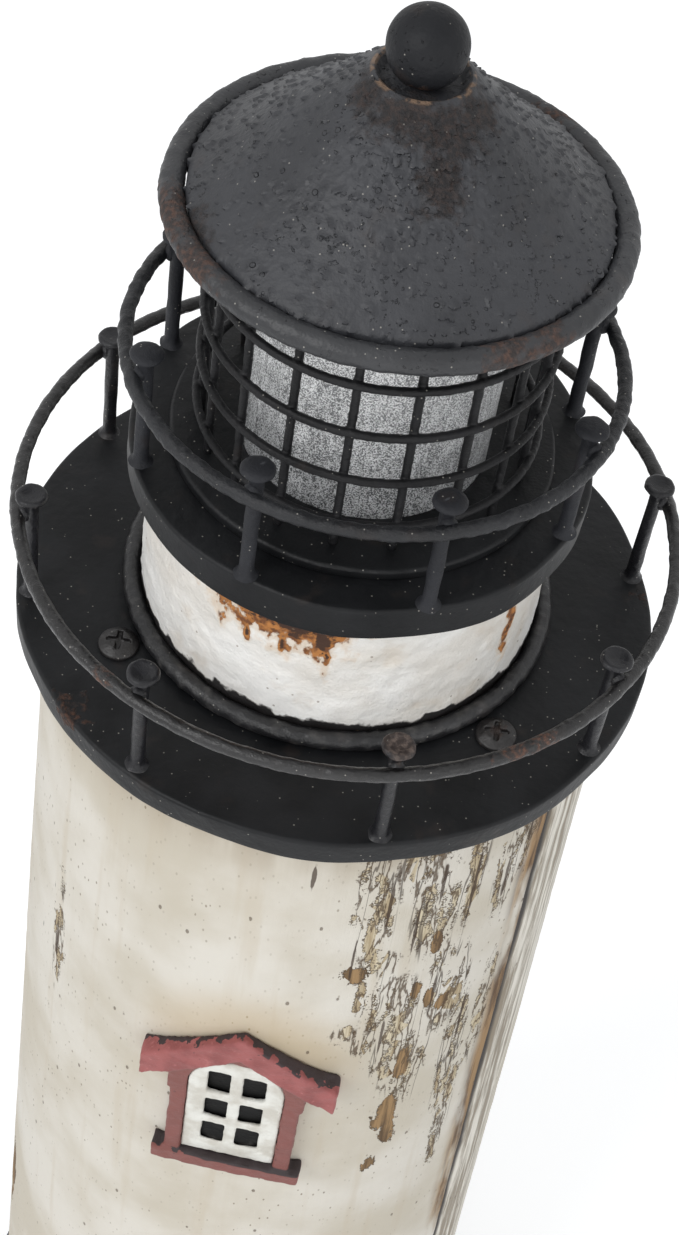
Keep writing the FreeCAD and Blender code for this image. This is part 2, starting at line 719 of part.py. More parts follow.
# A nickel plate at each end of the box joins the cells, and a bowed leaf on the plate at
# -X presses on each of them.
CONTACT_X = f"({BOX_INNER_LENGTH} / 2 - contact_thickness / 2)"
group("contact_plates", *[
    block(f"contact_plate_{number}", "contact_thickness", f"{BOX_INNER_WIDTH} - 2 * cell_gap",
          "contact_height", x=f"{side} * {CONTACT_X}", y="box_centre_y",
          z=f"{CELL_AXIS_Z} - contact_height / 2")
    for number, side in enumerate((-1, 1), start=1)
])
LEAF_RADIUS = "(((spring_height / 2) ^ 2 + spring_reach ^ 2) / (2 * spring_reach))"
LEAF_FOOT = f"sqrt(({LEAF_RADIUS} - spring_thickness) ^ 2 - ({LEAF_RADIUS} - spring_reach) ^ 2)"
LEAF_X = f"(contact_thickness - {BOX_INNER_LENGTH} / 2)"
springs = new_body("contact_springs")
for cell in range(int(size("cell_count"))):
    middle = f"(({cell} - (cell_count - 1) / 2) * cell_pitch)"
    corners = [
        (LEAF_X, "-1 * spring_height / 2"),
        (LEAF_X, "spring_height / 2"),
        (LEAF_X, LEAF_FOOT),
        (LEAF_X, f"-1 * {LEAF_FOOT}"),
    ]
    arcs = {0: (LEAF_RADIUS, 1), 2: (f"({LEAF_RADIUS} - spring_thickness)", -1)}
    leaf_sketch = empty_sketch(springs, "XZ_Plane", f"-1 * {middle} - spring_width / 2")
    draw_outline(leaf_sketch, corners, arcs)
    pad(springs, leaf_sketch, "spring_width")
place(springs, y="box_centre_y", z=CELL_AXIS_Z)

# ------------------------------------------------------------------ switch and its board

# A thin plate closes the switch's pocket. The slider stands through its slot.
SLOT_LENGTH = "(slider_length + slider_travel + 2 * cover_gap)"
SLOT_WIDTH = "(slider_width + 2 * cover_gap)"
SLIDER_REST_X = "(-1 * slider_travel / 2)"
switch_plate = new_body("switch_plate")
plate_sketch = empty_sketch(switch_plate, "XY_Plane")
draw_box(plate_sketch, "0", "switch_centre_y", "switch_plate_length", "switch_plate_width")
pad(switch_plate, plate_sketch, "switch_plate_thickness")
mill(switch_plate, "0", SWITCH_Y, SLOT_LENGTH, SLOT_WIDTH, "switch_plate_thickness")
for x, y in PLATE_SCREW_PLACES:
    drill(switch_plate, x, y, "small_screw_radius + screw_gap", "switch_plate_thickness")
place(switch_plate, z=PLATE_BOTTOM)

screw_group(
    "switch_plate_screws", PLATE_SCREW_PLACES, PLATE_BOTTOM,
    "small_screw_radius", "small_screw_head_radius", "small_screw_head_height", "small_screw_length",
    up=True,
)

# The slide switch sits on the plate, and the timer board is soldered to its back.
SLIDER_CAVITY = "(0.4 * switch_height)"
switch_body = new_body("switch_body")
switch_sketch = empty_sketch(switch_body, "XY_Plane")
draw_box(switch_sketch, "0", "0", "switch_length", "switch_width")
pad(switch_body, switch_sketch, "switch_height")
mill(switch_body, "0", "0", SLOT_LENGTH, SLOT_WIDTH, SLIDER_CAVITY)
place(switch_body, y=SWITCH_Y, z=SWITCH_BOTTOM)

slider_bottom = f"({PLATE_BOTTOM} - slider_height + 2 * cover_gap)"
keep(
    block("switch_slider", "slider_length", "slider_width",
          f"{SWITCH_BOTTOM} + {SLIDER_CAVITY} - cover_gap - {slider_bottom}",
          x=SLIDER_REST_X, y=SWITCH_Y, z=slider_bottom),
    "switch_slider",
)
keep(
    block("timer_board", "board_length", "board_width", "board_thickness", y="switch_centre_y",
          z=BOARD_BOTTOM),
    "timer_board",
)

# A short wire runs in a milled channel from the box's wall to the board.
battery_lead = new_body("battery_lead")
BATTERY_LEAD_END = f"(box_centre_y - {BOX_WIDTH} / 2)"
wire_sketch = empty_sketch(battery_lead, "XZ_Plane", f"-1 * {BATTERY_LEAD_END}")
draw_circle(wire_sketch, "battery_lead_x", BATTERY_LEAD_Z, "battery_lead_radius")
pad(battery_lead, wire_sketch, f"{BATTERY_LEAD_END} - switch_centre_y")
place(battery_lead)

# ------------------------------------------------------------------ tower

# Each half of the tower is coopered, turned outside and in, and chamfered at its seam.
TOWER_INNER_BOTTOM = "(tower_bottom_radius - tower_wall)"
TOWER_INNER_TOP = "(tower_top_radius - tower_wall)"
for label, backwards in (("tower_rear_half", True), ("tower_front_half", False)):
    half = new_body(label)
    corners = [
        (TOWER_INNER_BOTTOM, "0"),
        ("tower_bottom_radius", "0"),
        ("tower_top_radius", "tower_height"),
        (TOWER_INNER_TOP, "tower_height"),
    ]
    shell = revolve(half, draw_outline(empty_sketch(half, "XZ_Plane"), corners), angle=180,
                    backwards=backwards)

    def at_outer_seam(edge):
        ends = [vertex.Point for vertex in edge.Vertexes]
        if len(ends) < 2 or abs(ends[0].z - ends[1].z) < size("tower_height") / 2:
            return False
        low = min(ends, key=lambda end: end.z)
        return math.hypot(low.x, low.y) > size("tower_bottom_radius") - 0.01

    seam = edges_where(shell, at_outer_seam)
    dress(half, "Chamfer", shell, seam, "Size", "seam_groove")
    place(half, z=PLINTH_TOP, turn="seam_turn - 90")


def end_disc(label, bottom, hole, screw_places, screw_radius):
    """A plywood disc that closes an end of the tower, turned to the tower's taper."""
    body = new_body(label)
    low = f"({tower_radius(bottom)} - tower_wall - glue_gap)"
    high = f"({tower_radius(f'({bottom} + end_disc_thickness)')} - tower_wall - glue_gap)"
    corners = [(hole, "0"), (low, "0"), (high, "end_disc_thickness"), (hole, "end_disc_thickness")]
    revolve(body, draw_outline(empty_sketch(body, "XZ_Plane"), corners))
    for x, y in screw_places:
        drill(body, x, y, f"{screw_radius} + screw_gap", "end_disc_thickness")
    return place(body, z=bottom)


GALLERY_SCREW_TURNS = [
    f"(gallery_screw_turn + {half_turn} + {side} * gallery_screw_spread)"
    for half_turn in (0, 180)
    for side in (-1, 1)
]
GALLERY_SCREW_RING = "(tower_top_radius - gallery_screw_inset)"
GALLERY_SCREW_PLACES = [
    (f"({GALLERY_SCREW_RING} * sin({turn} * 1 deg))", f"(-1 * {GALLERY_SCREW_RING} * cos({turn} * 1 deg))")
    for turn in GALLERY_SCREW_TURNS
]
GROMMET_HOLE = f"({LEAD_HOLE} + grommet_wall)"
GROMMET_EDGE = f"({GROMMET_HOLE} + grommet_lip)"
end_disc("tower_base_disc", PLINTH_TOP, LEAD_HOLE, PLINTH_SCREW_PLACES, "plinth_screw_radius")
end_disc("tower_top_disc", f"({TOWER_TOP} - end_disc_thickness)", f"({GROMMET_EDGE} + fit_gap)",
         GALLERY_SCREW_PLACES, "gallery_screw_radius")

# ------------------------------------------------------------------ window and door

# A casting is a gabled hood, two jambs and a sill in one piece, with an arched opening
# and a hollow back that follows the tower. Heights here are above the casting's foot.


def tower_cone(name, growth):
    cone = doc.addObject("Part::Cone", name)
    cone.setExpression("Radius1", formula(f"tower_bottom_radius + {growth}"))
    cone.setExpression("Radius2", formula(f"tower_top_radius + {growth}"))
    cone.setExpression("Height", formula("tower_height"))
    return place(cone, z=PLINTH_TOP)


def arch_corners(radius, low, straight):
    """An upright rectangle with a half-round top, as corners and arcs."""
    corners = [
        (f"-1 * {radius}", low),
        (radius, low),
        (radius, straight),
        ("0", f"{straight} + {radius}"),
        (f"-1 * {radius}", straight),
    ]
    return corners, {2: (radius, 1), 3: (radius, 1)}


def facade(part):
    """What the window and the door share: their foot, depths and opening."""
    foot = f"({PLINTH_TOP} + {part}_rise)"
    wall = tower_radius(foot)
    return {
        "foot": foot,
        "wall": wall,
        "start": f"(0.8 * {wall})",
        "opening": f"{part}_opening_radius",
        "sill": f"{part}_sill_height",
        "spring": f"({part}_sill_height + {part}_opening_straight)",
    }


def bowed_cone(name, stand, bow):
    """The tower's cone grown by a stand, its axis set back so that its front is flatter."""
    cone = tower_cone(name, f"({stand} + {bow})")
    back_x, back_y = f"-1 * {bow} * sin(facade_turn * 1 deg)", f"{bow} * cos(facade_turn * 1 deg)"
    return place(cone, back_x, back_y, PLINTH_TOP)


def slab(name, part, outline, stand, arcs=None):
    """An upright outline padded out from inside the tower to well past a stand."""
    here = facade(part)
    body = doc.addObject("PartDesign::Body", name)
    sketch = draw_outline(empty_sketch(body, "XZ_Plane", here["start"]), outline, arcs)
    pad(body, sketch, f"{here['wall']} + 2 * {stand} - {here['start']}")
    return place(body, z=here["foot"], turn="facade_turn")


def casting(label, part):
    here = facade(part)
    half = f"{part}_hood_half_width"
    apex = f"({here['spring']} + {here['opening']} + {part}_hood_cover)"
    eave = f"({apex} - {part}_hood_drop)"
    hood = [
        (f"-1 * {half}", f"{eave} - {part}_hood_height"),
        ("0", f"{apex} - {part}_hood_height"),
        (half, f"{eave} - {part}_hood_height"),
        (half, eave),
        ("0", apex),
        (f"-1 * {half}", eave),
    ]
    # The jambs run up behind the hood, and each has a wider capital just below it.
    jamb = f"({here['opening']} + {part}_jamb_width)"
    capital = f"({jamb} + {part}_capital_overhang)"
    jamb_apex = f"({apex} - {part}_hood_height / 2)"
    capital_top = f"({jamb_apex} - {part}_hood_drop * {capital} / {half})"
    capital_foot = f"({capital_top} - {part}_capital_height)"
    jambs = [
        (f"-1 * {jamb}", here["sill"]),
        (jamb, here["sill"]),
        (jamb, capital_foot),
        (capital, capital_foot),
        (capital, capital_top),
        ("0", jamb_apex),
        (f"-1 * {capital}", capital_top),
        (f"-1 * {capital}", capital_foot),
        (f"-1 * {jamb}", capital_foot),
    ]
    sill = f"{part}_sill_half_width"
    sills = [(f"-1 * {sill}", "0"), (sill, "0"), (sill, here["sill"]), (f"-1 * {sill}", here["sill"])]
    hood_stand = f"{part}_hood_stand"
    layers = []
    for piece, outline, stand, bow in (
        ("sill", sills, f"{part}_sill_stand", "frame"),
        ("jamb", jambs, f"({hood_stand} - {part}_jamb_setback)", "frame"),
        ("hood", hood, hood_stand, "hood"),
    ):
        blank = slab(f"{label}_{piece}_blank", part, outline, stand)
        front = bowed_cone(f"{label}_{piece}_front", stand, f"{part}_{bow}_bow")
        layers.append(common(f"{label}_{piece}", blank, front))
    whole = doc.addObject("Part::MultiFuse", f"{label}_whole")
    whole.Shapes = layers
    doc.recompute()
    opening, arcs = arch_corners(here["opening"], here["sill"], here["spring"])
    hole = slab(f"{label}_opening", part, opening, hood_stand, arcs)
    return keep(minus(label, whole, hole, tower_cone(f"{label}_back", "glue_gap")), label)


def arched_leaf(name, part, stand, growth):
    """A plate that fills a casting's opening, hollow behind to follow the tower."""
    here = facade(part)
    body = doc.addObject("PartDesign::Body", f"{name}_blank")
    radius, low = f"({here['opening']} - glue_gap)", f"({here['sill']} + glue_gap)"
    corners, arcs = arch_corners(radius, low, here["spring"])
    sketch = draw_outline(empty_sketch(body, "XZ_Plane", here["start"]), corners, arcs)
    pad(body, sketch, f"{here['wall']} + {stand} - {here['start']}")
    place(body, z=here["foot"], turn="facade_turn")
    return body, here


casting("window_surround", "window")

# The sash is one white casting with two columns of three panes, over a black backing.
sash_body, window_here = arched_leaf("window_sash", "window", "window_leaf_stand", "backing_thickness")
for side in (-1, 1):
    for pane_row in range(3):
        tall = "pane_height * 1.15" if pane_row == 2 else "pane_height"
        low = f"({window_here['sill']} + pane_first + {pane_row} * pane_pitch)"
        pane_sketch = empty_sketch(sash_body, "XZ_Plane", window_here["start"])
        draw_box(pane_sketch, f"{side} * pane_offset", f"({low} + ({tall}) / 2)", "pane_width", tall)
        pocket(sash_body, pane_sketch, window_here["wall"], backwards=True)
SASH_BACK = "(2 * glue_gap + backing_thickness)"
keep(minus("window_sash", sash_body, tower_cone("window_sash_back", SASH_BACK)), "window_sash")

backing_body, _ = arched_leaf("window_backing", "window", "window_leaf_stand", "glue_gap")
backing_blank = minus("window_backing", backing_body, tower_cone("window_backing_back", "glue_gap"))
backing_front = tower_cone("window_backing_front", "(glue_gap + backing_thickness)")
keep(common("window_backing", backing_blank, backing_front), "window_backing")

casting("door_surround", "door")

# The door's leaf is one board, grooved into planks, with a turned knob.
door_body, door_here = arched_leaf("door_leaf", "door", "door_leaf_stand", "glue_gap")
for groove in (-1.5, -0.5, 0.5, 1.5):
    groove_sketch = empty_sketch(door_body, "XZ_Plane", f"{door_here['wall']} + door_leaf_stand")
    middle = f"({door_here['sill']} + {door_here['spring']} + {door_here['opening']}) / 2"
    draw_box(groove_sketch, f"{groove} * plank_pitch", middle, "plank_groove_width",
             f"2 * ({door_here['spring']} + {door_here['opening']})")
    pocket(door_body, groove_sketch, "plank_groove_depth")
keep(minus("door_leaf", door_body, tower_cone("door_leaf_back", "glue_gap")), "door_leaf")

knob = new_body("door_knob")
knob_seat = f"({door_here['wall']} + door_leaf_stand)"
knob_neck = "(0.45 * knob_radius)"
knob_corners = [
    ("knob_offset", f"-1 * {knob_seat}"),
    ("knob_offset", f"-1 * ({knob_seat} + 2.6 * knob_radius)"),
    ("knob_offset + knob_radius", f"-1 * ({knob_seat} + 1.6 * knob_radius)"),
    (f"knob_offset + {knob_neck}", f"-1 * ({knob_seat} + 0.8 * knob_radius)"),
    (f"knob_offset + {knob_neck}", f"-1 * {knob_seat}"),
]
knob_sketch = empty_sketch(knob, "XY_Plane", "knob_height")
draw_outline(knob_sketch, knob_corners, {1: ("knob_radius", 1)})
revolve(knob, knob_sketch, axis=(knob_sketch, ["Edge1"]))
place(knob, z=door_here["foot"], turn="facade_turn")

# ------------------------------------------------------------------ galleries and drum


def gallery_pan(label, radius, skirt, bore, floor, holes, hole_radius):
    """A spun steel lid: a flat floor with a short skirt, its top at the floor's height."""
    body = new_body(label)
    corners = [
        (bore, f"{skirt} - sheet_thickness"),
        (f"{radius} - sheet_thickness", f"{skirt} - sheet_thickness"),
        (f"{radius} - sheet_thickness", "0"),
        (radius, "0"),
        (radius, f"{skirt} - pan_corner_radius"),
        (f"{radius} - pan_corner_radius", skirt),
        (bore, skirt),
    ]
    sketch = draw_outline(empty_sketch(body, "XZ_Plane"), corners, {4: ("pan_corner_radius", 1)})
    revolve(body, sketch)
    for x, y in holes:
        drill(body, x, y, hole_radius, skirt)
    return place(body, z=f"{floor} - {skirt}")


def nail_posts(label, rail_radius, rail_height, floor, turn):
    """Nails welded upright on a gallery's floor, just inside its rail."""
    body = new_body(label)
    post = f"({rail_radius} - rail_wire_radius - post_radius - weld_gap)"
    head = f"({rail_height} + post_rise)"
    rim = "(0.3 * post_head_height)"
    dome = "(0.7 * post_head_height)"
    corners = [
        (post, "0"),
        (f"{post} + post_radius", "0"),
        (f"{post} + post_radius", head),
        (f"{post} + post_head_radius", head),
        (f"{post} + post_head_radius", f"{head} + {rim}"),
        (post, f"{head} + post_head_height"),
    ]
    dome_radius = f"((post_head_radius ^ 2 + {dome} ^ 2) / (2 * {dome}))"
    sketch = draw_outline(empty_sketch(body, "XZ_Plane"), corners, {4: (dome_radius, 1)})
    nail = revolve(body, sketch, axis=(sketch, [f"Edge{len(corners)}"]))
    polar_copies(body, nail, "post_count")
    return place(body, z=floor, turn=turn)


LED_SCREW_PLACES = [(f"({side} * led_screw_ring_radius)", "0") for side in (-1, 1)]

gallery_pan("lower_gallery_pan", LOWER_GALLERY_RADIUS, "lower_skirt_height", GROMMET_HOLE, LOWER_FLOOR,
            GALLERY_SCREW_PLACES, "gallery_screw_radius + screw_gap")
nail_posts("lower_posts", LOWER_GALLERY_RADIUS, "lower_rail_height", LOWER_FLOOR, "lower_post_turn")
wire_ring("lower_rail", LOWER_GALLERY_RADIUS, "rail_wire_radius", LOWER_RAIL)
screw_group(
    "gallery_screws", GALLERY_SCREW_PLACES, LOWER_FLOOR, "gallery_screw_radius",
    "gallery_screw_head_radius", "gallery_screw_head_height", "gallery_screw_length",
)

# The drum is a rolled and welded sheet, with a ring of rod welded round its foot.
turned("drum", [
    (f"{DRUM_RADIUS} - drum_wall", "0"),
    (DRUM_RADIUS, "0"),
    (DRUM_RADIUS, "drum_height"),
    (f"{DRUM_RADIUS} - drum_wall", "drum_height"),
], z=LOWER_FLOOR)
wire_ring("drum_foot_ring", f"{DRUM_RADIUS} + drum_ring_wire_radius + weld_gap", "drum_ring_wire_radius",
          f"{LOWER_FLOOR} + drum_ring_wire_radius")

gallery_pan("upper_gallery_pan", UPPER_GALLERY_RADIUS, "upper_skirt_height", GROMMET_HOLE, UPPER_FLOOR,
            LED_SCREW_PLACES, "small_screw_radius + screw_gap")
nail_posts("upper_posts", UPPER_RAIL_RADIUS, "upper_rail_height", UPPER_FLOOR, "upper_post_turn")
wire_ring("upper_rail", UPPER_RAIL_RADIUS, "rail_wire_radius", UPPER_RAIL)

# A rubber grommet lines the lead's hole in each pan.
grommets = new_body("pan_grommets")
for floor in (LOWER_FLOOR, UPPER_FLOOR):
    corners = [
        (LEAD_HOLE, f"{floor} - sheet_thickness - grommet_lip"),
        (GROMMET_EDGE, f"{floor} - sheet_thickness - grommet_lip"),
        (GROMMET_EDGE, f"{floor} - sheet_thickness - weld_gap"),
        (f"{GROMMET_HOLE} - weld_gap", f"{floor} - sheet_thickness - weld_gap"),
        (f"{GROMMET_HOLE} - weld_gap", f"{floor} + weld_gap"),
        (GROMMET_EDGE, f"{floor} + weld_gap"),
        (GROMMET_EDGE, f"{floor} + grommet_lip"),
        (LEAD_HOLE, f"{floor} + grommet_lip"),
    ]
    revolve(grommets, draw_outline(empty_sketch(grommets, "XZ_Plane"), corners))
place(grommets)

# ------------------------------------------------------------------ lamp and lantern

# The lamp holder is screwed to the upper gallery's floor, with the LED board in its top.
HOLDER_LEDGE = "(led_holder_height - led_board_recess)"
HOLDER_BORE = f"({GROMMET_EDGE} + fit_gap)"
led_holder = new_body("led_holder")
holder_corners = [
    (HOLDER_BORE, "0"),
    ("led_flange_radius", "0"),
    ("led_flange_radius", "led_flange_thickness"),
    ("led_holder_radius", "led_flange_thickness"),
    ("led_holder_radius", "led_holder_height"),
    ("led_board_radius + fit_gap", "led_holder_height"),
    ("led_board_radius + fit_gap", HOLDER_LEDGE),
    (HOLDER_BORE, HOLDER_LEDGE),
]
revolve(led_holder, draw_outline(empty_sketch(led_holder, "XZ_Plane"), holder_corners))
for x, y in LED_SCREW_PLACES:
    drill(led_holder, x, y, "small_screw_radius + screw_gap", "led_flange_thickness")
place(led_holder, z=UPPER_FLOOR)
screw_group(
    "led_holder_screws", LED_SCREW_PLACES, f"({UPPER_FLOOR} + led_flange_thickness)",
    "small_screw_radius", "small_screw_head_radius", "small_screw_head_height", "led_screw_length",
)

LED_BOARD_BOTTOM = f"({UPPER_FLOOR} + {HOLDER_LEDGE} + weld_gap)"
LED_BOARD_TOP = f"({LED_BOARD_BOTTOM} + led_board_thickness)"
keep(cylinder("led_board", "led_board_radius", "led_board_thickness", z=LED_BOARD_BOTTOM), "led_board")

leds = new_body("led_lamps")
led_shoulder = "(led_height - led_radius)"
led_corners = [
    ("led_ring_radius", "0"),
    ("led_ring_radius + led_radius", "0"),
    ("led_ring_radius + led_radius", led_shoulder),
    ("led_ring_radius", "led_height"),
]
led_sketch = draw_outline(empty_sketch(leds, "XZ_Plane"), led_corners, {2: ("led_radius", 1)})
polar_copies(leds, revolve(leds, led_sketch, axis=(led_sketch, ["Edge4"])), "led_count")
place(leds, z=f"{LED_BOARD_TOP} + weld_gap")

# One taut lead runs up the axis, from the timer board to the LED board.
LEAD_BOTTOM = f"({BOARD_TOP} + weld_gap)"
keep(
    cylinder("lamp_lead", "lead_radius", f"{LED_BOARD_BOTTOM} - weld_gap - {LEAD_BOTTOM}", z=LEAD_BOTTOM),
    "lamp_lead",
)

# The lantern's base is a spun steel ring with a groove that seats the diffuser.
GROOVE_OUT = f"({DIFFUSER_RADIUS} + diffuser_fit)"
GROOVE_IN = f"({DIFFUSER_RADIUS} - diffuser_wall - diffuser_fit)"
GROOVE_FLOOR = "(lantern_base_height - diffuser_seat_depth)"
turned("lantern_base", [
    (LANTERN_BORE, "0"),
    (LANTERN_BASE_RADIUS, "0"),
    (LANTERN_BASE_RADIUS, "0.8 * lantern_base_height"),
    (f"{LANTERN_BASE_RADIUS} - 0.2 * lantern_base_height", "lantern_base_height"),
    (GROOVE_OUT, "lantern_base_height"),
    (GROOVE_OUT, GROOVE_FLOOR),
    (GROOVE_IN, GROOVE_FLOOR),
    (GROOVE_IN, "lantern_base_height"),
    (LANTERN_BORE, "lantern_base_height"),
], z=UPPER_FLOOR)

# The diffuser is a frosted tube with a closed, rounded top, stood in that groove.
INNER_CORNER = "(diffuser_corner_radius - diffuser_wall)"
turned("diffuser", [
    (f"{DIFFUSER_RADIUS} - diffuser_wall", "0"),
    (DIFFUSER_RADIUS, "0"),
    (DIFFUSER_RADIUS, "diffuser_height - diffuser_corner_radius"),
    (f"{DIFFUSER_RADIUS} - diffuser_corner_radius", "diffuser_height"),
    ("0", "diffuser_height"),
    ("0", "diffuser_height - diffuser_wall"),
    (f"{DIFFUSER_RADIUS} - diffuser_corner_radius", "diffuser_height - diffuser_wall"),
    (f"{DIFFUSER_RADIUS} - diffuser_wall", "diffuser_height - diffuser_corner_radius"),
], {2: ("diffuser_corner_radius", 1), 6: (INNER_CORNER, -1)}, z=f"{UPPER_FLOOR} + {GROOVE_FLOOR} + weld_gap")

# The cage is half-inch welded mesh, rolled up: upright wires inside, hoops outside.
uprights = new_body("cage_uprights")
upright_sketch = empty_sketch(uprights, "XY_Plane")
draw_circle(upright_sketch, f"{CAGE_RADIUS} - cage_wire_radius - weld_gap", "0", "cage_wire_radius")
upright = pad(uprights, upright_sketch, f"{TOP_HOOP} - {LANTERN_FLOOR}")
polar_copies(uprights, upright, "cage_upright_count")
place(uprights, z=LANTERN_FLOOR, turn="cage_turn - 90")
for hoop in range(HOOP_COUNT):
    wire_ring(f"cage_hoop_{hoop + 1}", f"{CAGE_RADIUS} + cage_wire_radius", "cage_wire_radius",
              f"{LANTERN_FLOOR} + cage_first_hoop + {hoop} * cage_mesh_pitch")

# ------------------------------------------------------------------ roof

# The roof is spun from one sheet: a hollow cone with a cup at its top and a short skirt.
SPUN = "sheet_thickness"
STUD_HOLE = "(finial_stud_radius + finial_stud_gap)"
cone_low = f"({ROOF_EDGE} - {ROOF_BOTTOM})"
cone_rim = f"({ROOF_CUP_RIM} - {ROOF_BOTTOM})"
cup_floor = f"({ROOF_CUP_FLOOR} - {ROOF_BOTTOM})"
turned("roof_cone", [
    (ROOF_EDGE_RADIUS, "0"),
    (ROOF_EDGE_RADIUS, cone_low),
    ("roof_cup_rim_radius", cone_rim),
    ("roof_cup_floor_radius", cup_floor),
    (STUD_HOLE, cup_floor),
    (STUD_HOLE, f"{cup_floor} - {SPUN}"),
    (f"roof_cup_floor_radius + 0.7 * {SPUN}", f"{cup_floor} - {SPUN}"),
    (f"roof_cup_rim_radius + 1.3 * {SPUN}", f"{cone_rim} - 2.2 * {SPUN}"),
    (f"{ROOF_EDGE_RADIUS} - {SPUN}", f"{cone_low} - 0.4 * {SPUN}"),
    (f"{ROOF_EDGE_RADIUS} - {SPUN}", "0"),
], {1: ("roof_hollow_radius", -1), 7: ("roof_hollow_radius", 1)}, z=ROOF_BOTTOM)

# A ring of rod is welded round the skirt and makes the roof's rounded rim.
wire_ring("roof_rim", f"{ROOF_EDGE_RADIUS} + roof_rim_wire_radius + weld_gap", "roof_rim_wire_radius",
          f"{ROOF_EDGE} - roof_rim_drop")

# A flat ring inside the skirt seats the roof on the cage, and a collar under it centres it.
turned("roof_seat_ring", [
    ("roof_seat_bore", "0"),
    (f"{ROOF_EDGE_RADIUS} - {SPUN} - weld_gap", "0"),
    (f"{ROOF_EDGE_RADIUS} - {SPUN} - weld_gap", SPUN),
    ("roof_seat_bore", SPUN),
], z=ROOF_BOTTOM)
COLLAR_RADIUS = f"({CAGE_RADIUS} - 2 * cage_wire_radius - weld_gap - roof_collar_gap)"
turned("roof_collar", [
    (f"{COLLAR_RADIUS} - {SPUN}", "0"),
    (COLLAR_RADIUS, "0"),
    (COLLAR_RADIUS, "roof_collar_height"),
    (f"{COLLAR_RADIUS} - {SPUN}", "roof_collar_height"),
], z=f"{ROOF_BOTTOM} - roof_collar_height")

# A stud screwed into the ball passes through the cup, and a washer and nut hold it below.
BALL_FLAT = f"sqrt(finial_radius ^ 2 - {STUD_HOLE} ^ 2)"
BALL_CENTRE = f"({ROOF_CUP_FLOOR} + {BALL_FLAT} + weld_gap)"
turned("finial_ball", [
    (STUD_HOLE, f"-1 * {BALL_FLAT}"),
    ("0", "finial_radius"),
    ("0", "finial_hole_depth - finial_radius"),
    (STUD_HOLE, "finial_hole_depth - finial_radius"),
], {0: ("finial_radius", 1)}, z=BALL_CENTRE)
STUD_BOTTOM = f"({ROOF_CUP_FLOOR} - finial_stud_tail)"
STUD_TOP = f"({BALL_CENTRE} - finial_radius + finial_hole_depth - finial_stud_gap)"
keep(cylinder("finial_stud", "finial_stud_radius", f"{STUD_TOP} - {STUD_BOTTOM}", z=STUD_BOTTOM), "finial_stud")
WASHER_TOP = f"({ROOF_CUP_FLOOR} - {SPUN} - weld_gap)"
WASHER_BOTTOM = f"({WASHER_TOP} - finial_washer_thickness)"
turned("finial_washer", [
    (STUD_HOLE, "0"),
    ("finial_washer_radius", "0"),
    ("finial_washer_radius", "finial_washer_thickness"),
    (STUD_HOLE, "finial_washer_thickness"),
], z=WASHER_BOTTOM)
finial_nut = new_body("finial_nut")
nut_sketch = empty_sketch(finial_nut, "XY_Plane")
NUT_CORNER = "finial_nut_flats / sqrt(3)"
draw_outline(nut_sketch, [
    (f"{NUT_CORNER} * cos({60 * corner} deg)", f"{NUT_CORNER} * sin({60 * corner} deg)") for corner in range(6)
])
pad(finial_nut, nut_sketch, "finial_nut_height")
drill(finial_nut, "0", "0", STUD_HOLE, "finial_nut_height")
place(finial_nut, z=f"{WASHER_BOTTOM} - weld_gap - finial_nut_height")

# ------------------------------------------------------------------ check and write

doc.recompute()
for thing in doc.Objects:
    if {"Invalid", "Error"} & set(thing.State):
        raise RuntimeError(f"{thing.Label} did not build")
for thing in NODES:
    if thing.Shape.isNull() or not thing.Shape.isValid():
        raise RuntimeError(f"{thing.Label} has no valid shape")
os.makedirs("parts", exist_ok=True)
for thing in NODES:
    thing.Shape.exportStep(f"parts/{thing.Label}.step")
    box = thing.Shape.BoundBox
    print(f"{thing.Label:22s} {len(thing.Shape.Solids):3d} solids  {thing.Shape.Volume:11.1f} mm3  "
          f"z {box.ZMin:7.2f} to {box.ZMax:7.2f}")
print(len(NODES), "sub-parts, height", round(max(thing.Shape.BoundBox.ZMax for thing in NODES), 2))
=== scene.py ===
"""A garden lighthouse ornament as it looks after years on a porch: chipped paint, rust, bare wood."""

import math

import bpy
from mathutils import Matrix, Vector, noise


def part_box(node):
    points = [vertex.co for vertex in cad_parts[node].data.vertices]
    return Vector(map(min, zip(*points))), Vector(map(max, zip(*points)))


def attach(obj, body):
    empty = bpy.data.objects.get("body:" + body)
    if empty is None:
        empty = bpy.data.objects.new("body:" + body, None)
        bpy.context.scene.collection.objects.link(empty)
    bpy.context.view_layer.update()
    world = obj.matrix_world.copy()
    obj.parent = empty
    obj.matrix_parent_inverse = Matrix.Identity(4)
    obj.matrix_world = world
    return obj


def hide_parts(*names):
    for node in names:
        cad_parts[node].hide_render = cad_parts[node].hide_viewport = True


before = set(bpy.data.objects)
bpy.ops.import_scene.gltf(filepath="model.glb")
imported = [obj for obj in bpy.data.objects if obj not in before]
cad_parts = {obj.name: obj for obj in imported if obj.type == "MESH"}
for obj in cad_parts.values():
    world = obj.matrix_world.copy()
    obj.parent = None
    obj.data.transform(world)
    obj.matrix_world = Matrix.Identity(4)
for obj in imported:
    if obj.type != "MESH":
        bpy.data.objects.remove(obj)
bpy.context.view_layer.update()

# ---------------------------------------------------------------- the photographer's set
# The ornament stands on a wide pale board and is seen from above its lantern, by a camera
# that leans to one side. A large soft lamp is on the left, weaker ones on the right and in front.

scene = bpy.context.scene
scene.view_settings.view_transform = "Standard"

PHOTO_HEIGHT = 1235
FOCAL_PIXELS = 2202.1
CAMERA_PLACE = (0, -0.3466, 0.8384)
pan, tilt, lean = math.radians(0.295), math.radians(49.046), math.radians(9.776)

